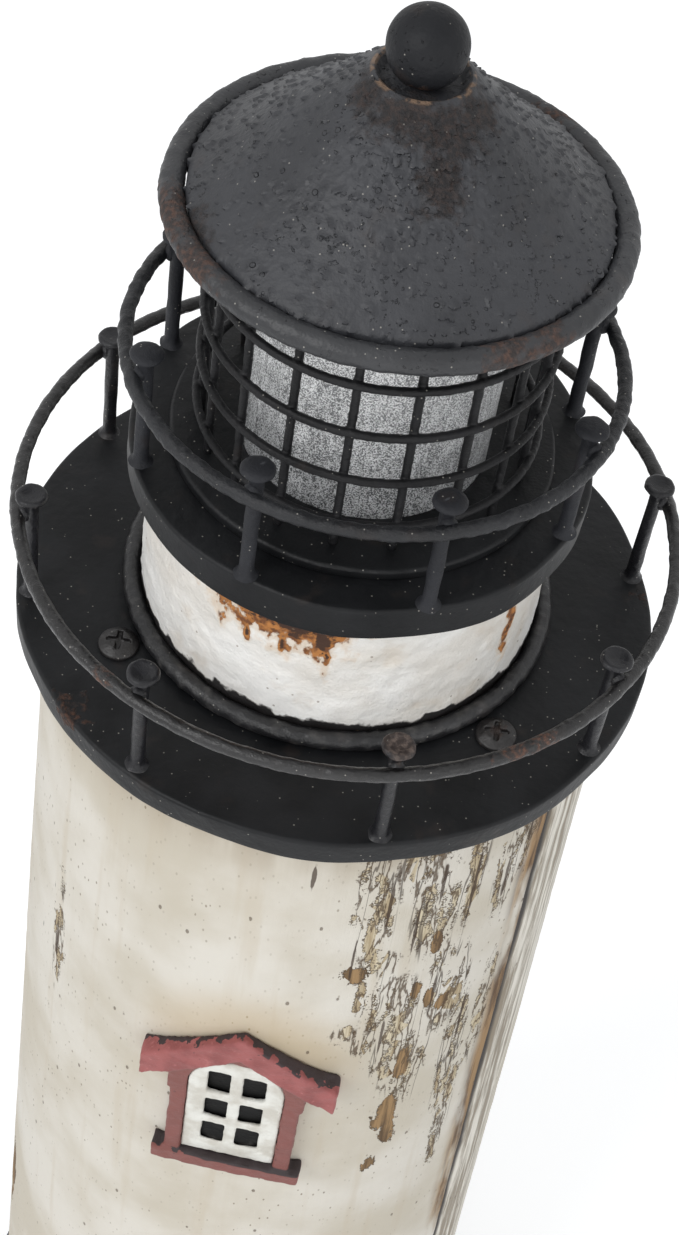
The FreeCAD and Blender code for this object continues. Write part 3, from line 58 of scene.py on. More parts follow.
camera_data = bpy.data.cameras.new("photo_camera")
camera_data.sensor_fit = "VERTICAL"
camera_data.sensor_height = 36.0
camera_data.lens = FOCAL_PIXELS / PHOTO_HEIGHT * camera_data.sensor_height
camera_data.clip_start = 0.01
camera = bpy.data.objects.new("photo_camera", camera_data)
scene.collection.objects.link(camera)
scene.camera = camera
forward = Vector((math.sin(pan) * math.cos(tilt), math.cos(pan) * math.cos(tilt), -math.sin(tilt)))
level_right = Vector((math.cos(pan), -math.sin(pan), 0))
level_up = level_right.cross(forward)
right = level_right * math.cos(lean) + level_up * math.sin(lean)
up = level_up * math.cos(lean) - level_right * math.sin(lean)
turned_camera = Matrix((right, up, -forward)).transposed().to_4x4()
camera.matrix_world = Matrix.Translation(CAMERA_PLACE) @ turned_camera


def soft_lamp(name, place, aim, width, power):
    lamp_data = bpy.data.lights.new(name, "AREA")
    lamp_data.shape = "DISK"
    lamp_data.size = width
    lamp_data.energy = power
    lamp = bpy.data.objects.new(name, lamp_data)
    scene.collection.objects.link(lamp)
    turned = (Vector(aim) - Vector(place)).to_track_quat("-Z", "Y").to_matrix().to_4x4()
    lamp.matrix_world = Matrix.Translation(place) @ turned


soft_lamp("left_lamp", (-1.3, -1.3, 1.9), (0, 0, 0.4), 1.3, 24)
soft_lamp("right_lamp", (1.5, -1.2, 1.2), (0, 0, 0.4), 1.2, 6)
soft_lamp("front_lamp", (0.15, -1.6, 0.35), (0, 0, 0.47), 1.0, 4)


class Value:
    """An output of a shader node that can be reckoned with: each step adds a Math node."""

    def __init__(self, socket):
        self.socket, self.tree = socket, socket.id_data

    def __add__(self, other):
        return calc("ADD", self, other)

    def __sub__(self, other):
        return calc("SUBTRACT", self, other)

    def __rsub__(self, other):
        return calc("SUBTRACT", other, self)

    def __mul__(self, other):
        return calc("MULTIPLY", self, other)

    def __lt__(self, other):
        return calc("LESS_THAN", self, other)

    def __gt__(self, other):
        return calc("GREATER_THAN", self, other)

    def __abs__(self):
        return calc("ABSOLUTE", self)

    __radd__ = __add__


def connect(target, inputs):
    """Sets a node's inputs. Each is given a plain value, or a Value that is linked to it."""
    for name, given in inputs.items():
        socket = target.inputs[name]
        if isinstance(given, Value):
            given.tree.links.new(given.socket, socket)
        else:
            socket.default_value = given


def feed(target, **inputs):
    """The same, with the inputs' names as words: Base_Color stands for Base Color."""
    connect(target, {name.replace("_", " "): given for name, given in inputs.items()})


def node(tree, kind, inputs=(), **settings):
    made = tree.nodes.new("ShaderNode" + kind)
    for name, setting in settings.items():
        setattr(made, name, setting)
    connect(made, dict(inputs))
    return made


def value(tree, kind, inputs=(), output=0, **settings):
    return Value(node(tree, kind, inputs, **settings).outputs[output])


def calc(operation, *values):
    tree = next(given.tree for given in values if isinstance(given, Value))
    return value(tree, "Math", enumerate(values), operation=operation)


def larger(first, second):
    return calc("MAXIMUM", first, second)


def seen_directly(tree):
    """1 for what the camera sees straight, mirrored or through glass, and 0 for other light."""
    path = node(tree, "LightPath").outputs
    rays = ("Camera", "Glossy", "Transmission")
    straight, mirrored, through = (Value(path[f"Is {ray} Ray"]) for ray in rays)
    return larger(straight, larger(mirrored, through))


world = bpy.data.worlds.new("soft_daylight")
scene.world = world
world.use_nodes = True
sky = world.node_tree
sky.nodes.clear()
daylight = value(sky, "Background", {"Color": (0.96, 0.98, 1.0, 1), "Strength": 0.62})
backdrop = value(sky, "Background", {"Color": (1, 1, 1, 1), "Strength": 1.0})
either = value(sky, "MixShader", {0: seen_directly(sky), 1: daylight, 2: backdrop})
node(sky, "OutputWorld", {"Surface": either})

FLOOR_REACH = 4
floor_corners = [(x * FLOOR_REACH, y * FLOOR_REACH, 0) for x, y in ((-1, -1), (1, -1), (1, 1), (-1, 1))]
floor_mesh = bpy.data.meshes.new("pale_floor")
floor_mesh.from_pydata(floor_corners, [], [(0, 1, 2, 3)])
floor = bpy.data.objects.new("pale_floor", floor_mesh)
scene.collection.objects.link(floor)


def finish(name):
    material = bpy.data.materials.new(name)
    material.use_nodes = True
    return material, material.node_tree, material.node_tree.nodes["Principled BSDF"]


board_finish, board, shader = finish("pale_board")
feed(shader, Base_Color=(0.86, 0.86, 0.86, 1), Roughness=0.9, Specular_IOR_Level=0.1)
glow = value(board, "Emission", {"Color": (1, 1, 1, 1), "Strength": seen_directly(board) * 0.42})
lit_board = value(board, "AddShader", {0: Value(shader.outputs[0]), 1: glow})
feed(board.nodes["Material Output"], Surface=lit_board)
floor_mesh.materials.append(board_finish)

# ---------------------------------------------------------------- rubber feet and plinth
# Four rubber pads are stuck under one turned board, painted black. Its rounded edge has
# lost some paint, and the brown primer shows through.

MM = 0.001


def paint_colour(red, green, blue):
    """A colour from 0 to 255 as a shader's own linear values."""
    shares = (amount / 255 for amount in (red, green, blue))
    linear = (share / 12.92 if share <= 0.04 else ((share + 0.055) / 1.055) ** 2.4 for share in shares)
    return (*linear, 1.0)


def blended(factor, low, high):
    """A blend of two colours, each a Value or (red, green, blue) from 0 to 255."""
    low, high = (tone if isinstance(tone, Value) else paint_colour(*tone) for tone in (low, high))
    return value(factor.tree, "Mix", {0: factor, 6: low, 7: high}, 2, data_type="RGBA")


def layered(base, *layers):
    """A colour with others laid over it in turn, each given as (how much, colour)."""
    for factor, tone in layers:
        base = blended(factor, base, tone)
    return base


def stepped(given, low, high):
    """0 below low, 1 above high and a smooth step between them."""
    inputs = {"Value": given, "From Min": low, "From Max": high}
    return value(given.tree, "MapRange", inputs, interpolation_type="SMOOTHSTEP")


def bumped(height, depth):
    """The normal of a surface with a relief of this height, and a depth in millimetres."""
    return value(height.tree, "Bump", {"Height": height, "Distance": depth * MM, "Strength": 1.0})


def vectors(tree, operation, *values, output=0):
    return value(tree, "VectorMath", enumerate(values), output, operation=operation)


def object_place(tree):
    return value(tree, "TexCoord", output="Object")


def stretched_place(tree, stretch):
    """Object coordinates, squeezed along each axis by a vector or a Value."""
    return vectors(tree, "MULTIPLY", object_place(tree), stretch)


def axes(tree, vector=None):
    parts = node(tree, "SeparateXYZ", {0: vector or object_place(tree)}).outputs
    return [Value(part) for part in parts]


def noise_at(tree, size, detail=3.0, stretch=None, roughness=0.5):
    place = stretched_place(tree, stretch) if stretch else object_place(tree)
    inputs = {"Scale": size, "Detail": detail, "Roughness": roughness, "Vector": place}
    return value(tree, "TexNoise", inputs)


def cells_at(tree, size, place, **settings):
    """How far a point is from the middle of its cell, and a random number for each cell."""
    cells = node(tree, "TexVoronoi", {"Scale": size, "Vector": place}, **settings).outputs
    return Value(cells["Distance"]), value(tree, "SeparateColor", {0: Value(cells["Color"])})


def new_effect(name, output, **inputs):
    """An effect that several finishes share, as a node group: its tree, end and input Values."""
    tree = bpy.data.node_groups.new(name, "ShaderNodeTree")
    for label, usual in inputs.items():
        kind = "NodeSocketVector" if isinstance(usual, tuple) else "NodeSocketFloat"
        socket = tree.interface.new_socket(label.replace("_", " "), in_out="INPUT", socket_type=kind)
        socket.default_value = usual
    tree.interface.new_socket(output, in_out="OUTPUT", socket_type="NodeSocketFloat")
    given = tree.nodes.new("NodeGroupInput").outputs
    return tree, tree.nodes.new("NodeGroupOutput"), *(Value(given[index]) for index in range(len(inputs)))


def use_effect(tree, effect, **inputs):
    placed = tree.nodes.new("ShaderNodeGroup")
    placed.node_tree = effect
    feed(placed, **inputs)
    return Value(placed.outputs[0])


# Lumps: brush marks and sags of thick paint. Size is in bumps to the metre.
lumps_effect, end, size, fine_share = new_effect("paint_lumps", "Height", Size=300.0, Fine_Share=0.3)
coarse, fine = noise_at(lumps_effect, size, 2.0), noise_at(lumps_effect, size * 6.0, 3.0)
feed(end, Height=coarse + fine * fine_share)

# Specks: dust, pinholes and spatter, as a share of the cells of a pattern that have a dot.
specks_effect, end, size, share, dot, stretch = new_effect(
    "scattered_specks", "Mask", Size=700.0, Share=0.1, Dot=0.25, Stretch=(1, 1, 1)
)
from_middle, chance = cells_at(specks_effect, size, stretched_place(specks_effect, stretch))
feed(end, Mask=(chance < share) * (1.0 - stepped(from_middle, dot, dot * 1.5)))

# Edge wear and painted highlight: paint rubbed off proud edges, and on the galleries a painted highlight
# along them, broken up so that it isn't an even line.
wear_and_highlight_effect, end, start, full, break_up = new_effect(
    "edge_wear_and_highlight", "Mask", Start=0.53, Full=0.6, Break_Up=260.0
)
proud = value(wear_and_highlight_effect, "NewGeometry", output="Pointiness")
broken = (noise_at(wear_and_highlight_effect, break_up, 4.0) - 0.5) * 0.12
feed(end, Mask=stepped(proud + broken, start, full))

# Placed patch: 1 at a named place on the object, 0 at its reach and less further off.
patch_effect, end, centre, reach = new_effect("placed_patch", "Nearness", Centre=(0, 0, 0), Reach=(1, 1, 1))
offset = vectors(patch_effect, "SUBTRACT", object_place(patch_effect), centre)
far = vectors(patch_effect, "LENGTH", vectors(patch_effect, "DIVIDE", offset, reach), output="Value")
feed(end, Nearness=1.0 - far)


def on_round(turn, radius, height):
    """The point at a turn from the front, a radius and a height."""
    return (radius * math.sin(math.radians(turn)), -radius * math.cos(math.radians(turn)), height)


def nearness(tree, patches):
    """How near a point is to the nearest patch. Each patch is given as the turn, radius and height of
    its middle and its reach along X, Y and Z, in degrees and millimetres."""
    best = None
    for turn, radius, height, *reach in patches:
        centre = [length * MM for length in on_round(turn, radius, height)]
        near = use_effect(tree, patch_effect, Centre=centre, Reach=[length * MM for length in reach])
        best = larger(best, near) if best else near
    return best


def ragged_at(tree, size, detail, depth, stretch=None):
    """Noise about 0 that makes the edge of a patch ragged."""
    return (noise_at(tree, size, detail, stretch) - 0.5) * depth


def black_paint(name, tone, roughness, lump_size=350.0, lump_depth=0.25, rust=(), rust_spread=0.35,
                dust=0.04, worn=(92, 90, 88), wear_from=0.53, crumbs=0.0, rust_low=(42, 33, 30),
                rust_high=(88, 62, 50), sheen=0.5, chipped_above=None):
    """Old black paint on metal or wood: brushed lumps, dust, rubbed edges, which on the galleries are a
    painted highlight, and patches of rust. It can have crumbs in it, be duller by its sheen, and be chipped
    above a height in metres."""
    material, tree, shader = finish(name)
    cloudy = noise_at(tree, 60.0, 5.0)
    deep = [max(amount - 12, 0) for amount in tone]
    brown = stepped(noise_at(tree, 130.0, 6.0), 0.58, 0.75)
    # rubbed edges; on the galleries' black their light tone is a painted highlight
    wear = use_effect(tree, wear_and_highlight_effect, Start=wear_from, Full=wear_from + 0.07)
    base = blended(stepped(cloudy, 0.35, 0.68), deep, tone)
    base = layered(base, (brown * 0.3, (52, 44, 40)), (wear * 0.7, worn))
    rough = cloudy * 0.22 + (roughness - 0.11)
    height = use_effect(tree, lumps_effect, Size=lump_size, Fine_Share=0.35)
    if rust:
        eaten = stepped(nearness(tree, rust) + ragged_at(tree, 420.0, 8.0, 2.4), 0.5 - rust_spread, 0.62)
        rust_tone = blended(stepped(noise_at(tree, 900.0, 5.0), 0.4, 0.68), rust_low, rust_high)
        base = blended(eaten * 0.8, base, rust_tone)
        rough = rough + eaten * 0.25
        height = height + eaten * (noise_at(tree, 2200.0) * 0.9)
    if crumbs:
        gathered = stepped(noise_at(tree, 70.0, 2.0), 0.42, 0.6)
        pimples = gathered * stepped(noise_at(tree, 820.0, 2.0), 0.62, 0.72)
        grit = use_effect(tree, specks_effect, Size=430.0, Share=crumbs, Dot=0.2)
        height = height + (pimples * 0.9 + grit * 1.2)
    if chipped_above:
        lost = stepped(axes(tree)[2], chipped_above, chipped_above + 0.0004)
        lost = lost * stepped(noise_at(tree, 420.0, 5.0), 0.44, 0.56)
        base = blended(lost * 0.8, base, (128, 104, 84))
    specks = use_effect(tree, specks_effect, Size=1500.0, Share=dust, Dot=0.2)
    base = blended(specks * 0.6, base, (170, 166, 158))
    normal = bumped(height, lump_depth)
    feed(shader, Base_Color=base, Roughness=rough, Normal=normal, Specular_IOR_Level=sheen)
    return material


def rubber(name, tone):
    """Matt moulded rubber with a fine skin and a little dust."""
    material, tree, shader = finish(name)
    dusty = stepped(noise_at(tree, 300.0, 6.0), 0.45, 0.8)
    feed(shader, Base_Color=blended(dusty * 0.4, tone, (92, 88, 80)), Roughness=0.85,
         Normal=bumped(noise_at(tree, 3000.0, 2.0), 0.05))
    return material


def dress(cad_node, material):
    """Gives a CAD piece that keeps its shape a new finish."""
    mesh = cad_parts[cad_node].data
    mesh.materials.clear()
    mesh.materials.append(material)


dress("foot_pads", rubber("foot_rubber", (34, 34, 35)))

plinth_paint = black_paint("plinth_paint", (56, 57, 60), 0.62, 120.0, 0.3,
                           worn=(120, 104, 84), wear_from=0.56, dust=0.05)
dress("plinth", plinth_paint)

# ---------------------------------------------------------------- screws, battery box and switch
# Steel screws, a moulded battery box with three plain-jacketed cells, and a slide switch
# with its timer board sit in the underside. They are out of the weather and hardly worn.


def steel(name, tone, roughness, rust=0.0):
    """Plated steel with fine scratches and, where asked, rust."""
    material, tree, shader = finish(name)
    scratches, metal = noise_at(tree, 1800.0, 4.0, (1, 1, 0.2)), 1.0
    base = blended(scratches, [amount * 0.8 for amount in tone], tone)
    rough = scratches * 0.2 + (roughness - 0.1)
    if rust:
        rusty = stepped(noise_at(tree, 700.0, 6.0), 0.62 - rust * 0.4, 0.72 - rust * 0.2)
        base, metal, rough = blended(rusty, base, (104, 62, 40)), 1.0 - rusty, rough + rusty * 0.4
    feed(shader, Base_Color=base, Metallic=metal, Roughness=rough, Normal=bumped(scratches, 0.03))
    return material


def moulded_plastic(name, tone, roughness):
    """Plastic with the fine spark-eroded grain of its mould and a little dust."""
    material, tree, shader = finish(name)
    dusty = stepped(noise_at(tree, 200.0, 6.0), 0.5, 0.85)
    lighter = [min(amount + 34, 255) for amount in tone]
    grainy = noise_at(tree, 2600.0, 2.0)
    feed(shader, Base_Color=blended(dusty * 0.5, tone, lighter), Normal=bumped(grainy, 0.06),
         Roughness=grainy * 0.15 + (roughness - 0.07))
    return material


small_screw_steel = steel("small_screw_steel", (150, 150, 146), 0.38)
for cad_node in ("battery_box_screws", "switch_plate_screws", "led_holder_screws"):
    dress(cad_node, small_screw_steel)
dress("plinth_screws", steel("plinth_screw_steel", (128, 124, 116), 0.45, rust=0.3))

box_plastic = moulded_plastic("box_plastic", (40, 41, 43), 0.5)
for cad_node in ("battery_box", "battery_cover", "switch_plate"):
    dress(cad_node, box_plastic)
dress("switch_slider", moulded_plastic("slider_plastic", (28, 28, 29), 0.4))
dress("contact_plates", steel("contact_nickel", (178, 174, 162), 0.25))
dress("contact_springs", steel("spring_steel", (168, 166, 158), 0.3))
dress("switch_body", steel("switch_can_steel", (158, 158, 156), 0.35))

# The cells have a plain dark jacket with a copper end and a bare ring and nub at +X.
COPPER_FROM, BARE_LENGTH = 0.010, 2.4
cell_finish, tree, shader = finish("cell_jacket")
across = axes(tree)[0]
bare_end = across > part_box("battery_cells")[1].x - BARE_LENGTH * MM
jacket = blended(stepped(across, COPPER_FROM, COPPER_FROM + 0.0002), (52, 56, 62), (150, 104, 60))
feed(shader, Base_Color=blended(bare_end, jacket, (176, 174, 168)), Metallic=larger(bare_end, 0.6),
     Roughness=noise_at(tree, 900.0) * 0.15 + 0.22)
dress("battery_cells", cell_finish)


def circuit_board(name):
    """Green solder mask over a faint net of copper tracks."""
    material, tree, shader = finish(name)
    copper = stepped(cells_at(tree, 420.0, object_place(tree), distance="MANHATTAN")[0], 0.42, 0.46)
    feed(shader, Base_Color=blended(copper, (30, 92, 50), (62, 128, 76)), Normal=bumped(copper, 0.03),
         Roughness=noise_at(tree, 600.0) * 0.1 + 0.25)
    return material


board_green = circuit_board("board_green")
dress("timer_board", board_green)
dress("led_board", board_green)
lead_rubber = rubber("lead_jacket", (30, 30, 31))
for cad_node in ("battery_lead", "lamp_lead", "pan_grommets"):
    dress(cad_node, lead_rubber)

# ---------------------------------------------------------------- tower
# Two coopered halves of softwood meet in a chamfered seam and are closed by plywood discs.
# The cream paint has crazed, flaked off in strips along the grain and split beside the seam.

# Wood grain: long fibres that run up the object.
grain_effect, end, size, along = new_effect("wood_grain", "Height", Size=500.0, Along=(1, 1, 0.05))
feed(end, Height=noise_at(grain_effect, size, 6.0, along, 0.65))

low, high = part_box("tower_front_half")
TOWER_BOTTOM, TOWER_TOP = low.z / MM, high.z / MM
FOOT_RADIUS, NECK_RADIUS, TOWER_WALL = 79.4, 68.0, 8.0
SEAM_TURN = 58.0


def tower_radius(z):
    return FOOT_RADIUS + (NECK_RADIUS - FOOT_RADIUS) * (z - TOWER_BOTTOM) / (TOWER_TOP - TOWER_BOTTOM)


def strips_at(rows):
    """Patches for nearness, from (turn, height, half width, half height) on the tower."""
    return [(turn, tower_radius(z), z, width, width, tall) for turn, z, width, tall in rows]


WINDOW_HALO = (-3.2, 350, 32, 34)
# Where the paint has come off, as (turn, height, half width, half height) in millimetres.
FLAKED_STRIPS = [(16.5, 430, 4.5, 26), (18.5, 408, 4.5, 22), (27, 432, 9, 18), (31, 412, 7, 22),
    (38, 430, 3, 36), (47, 412, 4, 20), (51, 428, 3, 24), (22, 392, 5, 6), (25, 372, 8, 16),
    (29, 352, 7, 26), (33, 340, 5, 22), (35.5, 385, 5, 12), (37.5, 366, 5, 15), (41, 372, 3, 18),
    (43.5, 335, 4, 34), (16.5, 362, 4, 4), (20.5, 356, 5, 5), (18.2, 382, 1.5, 12), (46, 300, 3, 30),
    (50, 350, 3, 30), (-52.5, 346, 3, 26)]
BARE_PATCHES = [(16.5, 389, 4.0, 5.0), (32.5, 396, 2.6, 6.5), (30.5, 342, 3.0, 10), (29.5, 318, 4.2, 11),
    (31.5, 308, 3.4, 10), (28.3, 291, 2.2, 6.0), (37, 366, 2.4, 5.0), (33.5, 371, 2.0, 6.0),
    (30, 378, 2.2, 5.5), (120, 210, 5, 26), (150, 330, 6, 30), (210, 150, 7, 34), (-75, 160, 5, 28),
    (170, 90, 5, 26), (-110, 380, 4, 22), (-30, 60, 6, 18), (40, 52, 7, 20), (95, 60, 6, 24)]
# Single long cracks, as (turn, height, half width, half height) in millimetres.
LONG_CRACKS = [(4.7, 429, 0.7, 7), (38.5, 415, 0.7, 24), (47, 412, 0.7, 15), (31, 424, 0.6, 13),
    (51.5, 428, 0.6, 15), (15.2, 397, 0.6, 14), (34.5, 372, 0.6, 16), (24.5, 356, 0.6, 15),
    (20.5, 416, 0.6, 18), (27, 402, 0.6, 16), (44, 352, 0.6, 20), (-53, 345, 0.7, 16)]


def tower_paint(name):
    material, tree, shader = finish(name)
    x, y, height = axes(tree)

    # cream paint, stained in clouds, with vertical runs of dirt, painted shade in streaks under the gallery
    # and a warmer halo at the window
    clouds = noise_at(tree, 22.0, 6.0)
    runs = noise_at(tree, 150.0, 5.0, (1, 1, 0.06))
    under_gallery = stepped(height, 0.418, 0.452)
    # painted shade: darker in vertical streaks just under the gallery
    painted_shade_under_gallery = under_gallery * stepped(runs + clouds * 0.4, 0.45, 0.85)
    grime = use_effect(tree, specks_effect, Size=900.0, Share=0.2, Dot=0.2, Stretch=(1, 1, 0.5))
    grimy = grime * (0.2 + stepped(noise_at(tree, 50.0, 4.0), 0.46, 0.66) * 0.6)
    halo = stepped(nearness(tree, strips_at([WINDOW_HALO])) + clouds * 0.3, 0.12, 0.7)
    cream = layered(
        blended(stepped(clouds, 0.38, 0.66), (212, 207, 197), (192, 184, 168)),
        (stepped(runs, 0.55, 0.72) * 0.35, (187, 174, 152)), (painted_shade_under_gallery, (150, 134, 112)),
        (grimy, (120, 106, 84)), (halo * 0.5, (180, 156, 114))
    )

    # paint that has let go: long ragged flakes, and whole patches of bare tan wood
    tile_chance = cells_at(tree, 380.0, stretched_place(tree, (1, 1, 0.45)))[1]
    crumbled = ragged_at(tree, 1500.0, 4.0, 1.6)
    ragged = ragged_at(tree, 300.0, 7.0, 3.8, (1, 1, 0.24)) + (crumbled + (tile_chance - 0.6) * 1.1)
    strips = calc("MINIMUM", nearness(tree, strips_at(FLAKED_STRIPS)) * 1.6, 0.6)
    patches = nearness(tree, strips_at(BARE_PATCHES))
    worn_patch = patches * 2.2 + ragged * 0.9
    lost = larger(strips + ragged, worn_patch)
    bare = stepped(lost, 0.55, 0.62)
    deep_bare = stepped(worn_patch, 0.5, 0.7)
    lip = stepped(lost, 0.44, 0.56) * (1.0 - stepped(lost, 0.66, 0.86))
    crazing = abs(ragged_at(tree, 300.0, 6.0, 1.0, (1, 1, 0.17)))
    craze_zone = stepped(strips + crumbled * 0.8, 0.0, 0.4)
    crazed = (1.0 - stepped(crazing, 0.008, 0.032)) * craze_zone

    # beside the seam: brown wood on its left, grey weathered wood on its right, a dark joint
    seam_cos, seam_sin = math.cos(math.radians(SEAM_TURN)), math.sin(math.radians(SEAM_TURN))
    beside = x * (seam_cos / MM) + y * (seam_sin / MM)
    front_side = x * seam_sin - y * seam_cos > 0.0
    wander = ragged_at(tree, 60.0, 5.0, 6.0, (1, 1, 0.5))
    wandering = beside + wander
    left_strip = stepped(wandering, -10.5, -5.0) * (beside < 0.0)
    right_strip = (beside > 0.0) * (1.0 - stepped(wandering, 13.0, 24.0))
    joint = 1.0 - stepped(abs(beside + wander * 0.15), 0.6, 1.6)

    fibres = use_effect(tree, grain_effect, Size=520.0)
    tan = blended(stepped(fibres, 0.36, 0.62), (86, 66, 44), (154, 124, 86))
    primed = blended(stepped(fibres, 0.36, 0.62), (166, 148, 118), (208, 196, 170))
    brown = blended(stepped(fibres, 0.4, 0.6), (92, 70, 50), (158, 128, 92))
    grey_fibres = stepped(use_effect(tree, grain_effect, Size=330.0), 0.42, 0.6)
    grey = blended(grey_fibres, (138, 127, 110), (224, 219, 208))

    cracks = abs(ragged_at(tree, 120.0, 3.0, 1.0, (1, 1, 0.05)))
    crack_zone = larger((strips + 0.35) * 1.4, under_gallery * 0.5)
    split = (1.0 - stepped(cracks, 0.002, 0.007)) * stepped(crack_zone, 0.2, 0.8)

    left_worn = left_strip * stepped(noise_at(tree, 90.0, 5.0, (1, 1, 0.25)), 0.34, 0.52)
    torn = ragged_at(tree, 500.0, 5.0, 1.6, (1, 1, 0.3))
    opened = stepped(nearness(tree, strips_at(LONG_CRACKS)) + torn, 0.18, 0.4)
    pits = use_effect(tree, specks_effect, Size=420.0, Share=0.05, Dot=0.14, Stretch=(1, 1, 0.5))
    dashes = use_effect(tree, specks_effect, Size=260.0, Share=0.035, Dot=0.08, Stretch=(1, 1, 0.22))
    colour = layered(
        cream, (bare, blended(deep_bare, primed, tan)), (right_strip * front_side, grey), (left_worn, brown),
        (lip * 0.85, (74, 60, 44)), (crazed * 0.85, (84, 66, 46)), (opened * 0.9, (66, 50, 36)),
        (split * 0.7, (60, 48, 38)), (pits * 0.75, (96, 82, 64)), (dashes * 0.8, (74, 62, 50)),
        (joint, (44, 38, 34))
    )

    film = 1.0 - larger(larger(bare, crazed), larger(split, left_worn))
    woody = fibres * (1.3 - film)
    brushed = use_effect(tree, lumps_effect, Size=260.0, Fine_Share=0.4) * 0.3
    relief = film + woody + (brushed - pits * 0.5)
    feed(shader, Base_Color=colour, Roughness=0.92 - film * 0.3, Normal=bumped(relief, 0.45))
    return material


tower_finish = tower_paint("tower_paint")


def new_piece(name, replaced, points, faces, material, sharp=38, body="lighthouse"):
    """A finished piece from points in millimetres, smooth but for its sharp edges."""
    mesh = bpy.data.meshes.new(name)
    mesh.from_pydata([(x * MM, y * MM, z * MM) for x, y, z in points], [], faces)
    mesh.validate()
    mesh.shade_smooth()
    mesh.set_sharp_from_angle(angle=math.radians(sharp))
    mesh.materials.append(material)
    piece = bpy.data.objects.new(name, mesh)
    scene.collection.objects.link(piece)
    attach(piece, body)
    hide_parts(*replaced)
    return piece


def uneven(point, size, depth, seed):
    """How far a hand-made surface stands out at a point: a smooth random swell."""
    return depth * noise.noise(Vector(point) / size + Vector((seed, seed * 1.7, -seed)))


# How deep the edge beside the seam is worn, as (distance from the edge, depth).
SEAM_CHAMFER = [(0.0, 1.5), (0.7, 1.0), (1.5, 0.25), (2.4, 0.0)]


def tower_half(name, cad_node, first_turn):
    """Half of the tower as a closed shell: uneven outside, plain inside, worn at its seams."""
    across, up_rows, gap = 180, 300, 0.03
    outer = []
    for row in range(up_rows + 1):
        z = TOWER_BOTTOM + (TOWER_TOP - TOWER_BOTTOM) * row / up_rows
        around = tower_radius(z) * math.pi / 180
        for column in range(across + 1):
            turn = first_turn + gap + (180 - 2 * gap) * column / across
            edge = min(column, across - column) / across * 180 * around
            wear = 1 + 0.5 * noise.noise(Vector((column > across / 2, 3.3, z / 17)))
            chamfer = 0.0
            for (w1, d1), (w2, d2) in zip(SEAM_CHAMFER, SEAM_CHAMFER[1:]):
                if w1 <= edge < w2:
                    chamfer = (d2 + (d1 - d2) * (w2 - edge) / (w2 - w1)) * wear
            surface = on_round(turn, tower_radius(z), z)
            hewn = uneven((surface[0], surface[1], z * 0.25), 16, 0.16, 4.2) + uneven(surface, 5, 0.10, 9.1)
            outer.append(on_round(turn, tower_radius(z) - chamfer + min(hewn, 0.25), z))
    inner_rows = 8
    inner = []
    for row in range(inner_rows + 1):
        z = TOWER_BOTTOM + (TOWER_TOP - TOWER_BOTTOM) * row / inner_rows
        for column in range(0, across + 1, 5):
            turn = first_turn + gap + (180 - 2 * gap) * column / across
            inner.append(on_round(turn, tower_radius(z) - TOWER_WALL, z))
    wide, thin, start = across + 1, across // 5 + 1, len(outer)
    faces = [
        tuple(row * wide + c + step for step in (0, 1, wide + 1, wide))
        for row in range(up_rows) for c in range(across)
    ]
    faces += [
        tuple(start + row * thin + c + step for step in (0, thin, thin + 1, 1))
        for row in range(inner_rows) for c in range(thin - 1)
    ]
    left_outer = [row * wide for row in range(up_rows + 1)]
    right_outer = [row * wide + across for row in range(up_rows + 1)]
    left_inner = [start + row * thin for row in range(inner_rows + 1)]
    right_inner = [start + row * thin + thin - 1 for row in range(inner_rows + 1)]
    faces.append(tuple(left_outer + left_inner[::-1]))
    faces.append(tuple(right_outer[::-1] + right_inner))
    top_outer = [up_rows * wide + c for c in range(wide)]
    top_inner = [start + inner_rows * thin + c for c in range(thin)]
    faces.append(tuple(range(wide))[::-1] + tuple(start + c for c in range(thin)))
    faces.append(tuple(top_outer + top_inner[::-1]))
    new_piece(name, [cad_node], outer + inner, faces, tower_finish)


tower_half("tower_front", "tower_front_half", SEAM_TURN - 180)
tower_half("tower_rear", "tower_rear_half", SEAM_TURN)


def raw_wood(name):
    """Unpainted plywood with a plain long grain."""
    material, tree, shader = finish(name)
    fibres = use_effect(tree, grain_effect, Size=240.0, Along=(0.08, 1, 1))
    tan = blended(stepped(fibres, 0.35, 0.65), (150, 116, 76), (196, 166, 122))
    feed(shader, Base_Color=tan, Roughness=0.8, Normal=bumped(fibres, 0.15))
    return material


plywood = raw_wood("disc_plywood")
for cad_node in ("tower_base_disc", "tower_top_disc"):
    dress(cad_node, plywood)

# ---------------------------------------------------------------- window and door
# Each surround is one iron casting, glued to the tower and painted dull red, with black
# worn into its top faces. The sash is a white casting whose corners thick paint has rounded.


# The hood's lower edge is highest at X = -HOOD_MIDDLE and falls at this slope on both sides.
HOOD_MIDDLE, HOOD_SLOPE = 4, 0.74


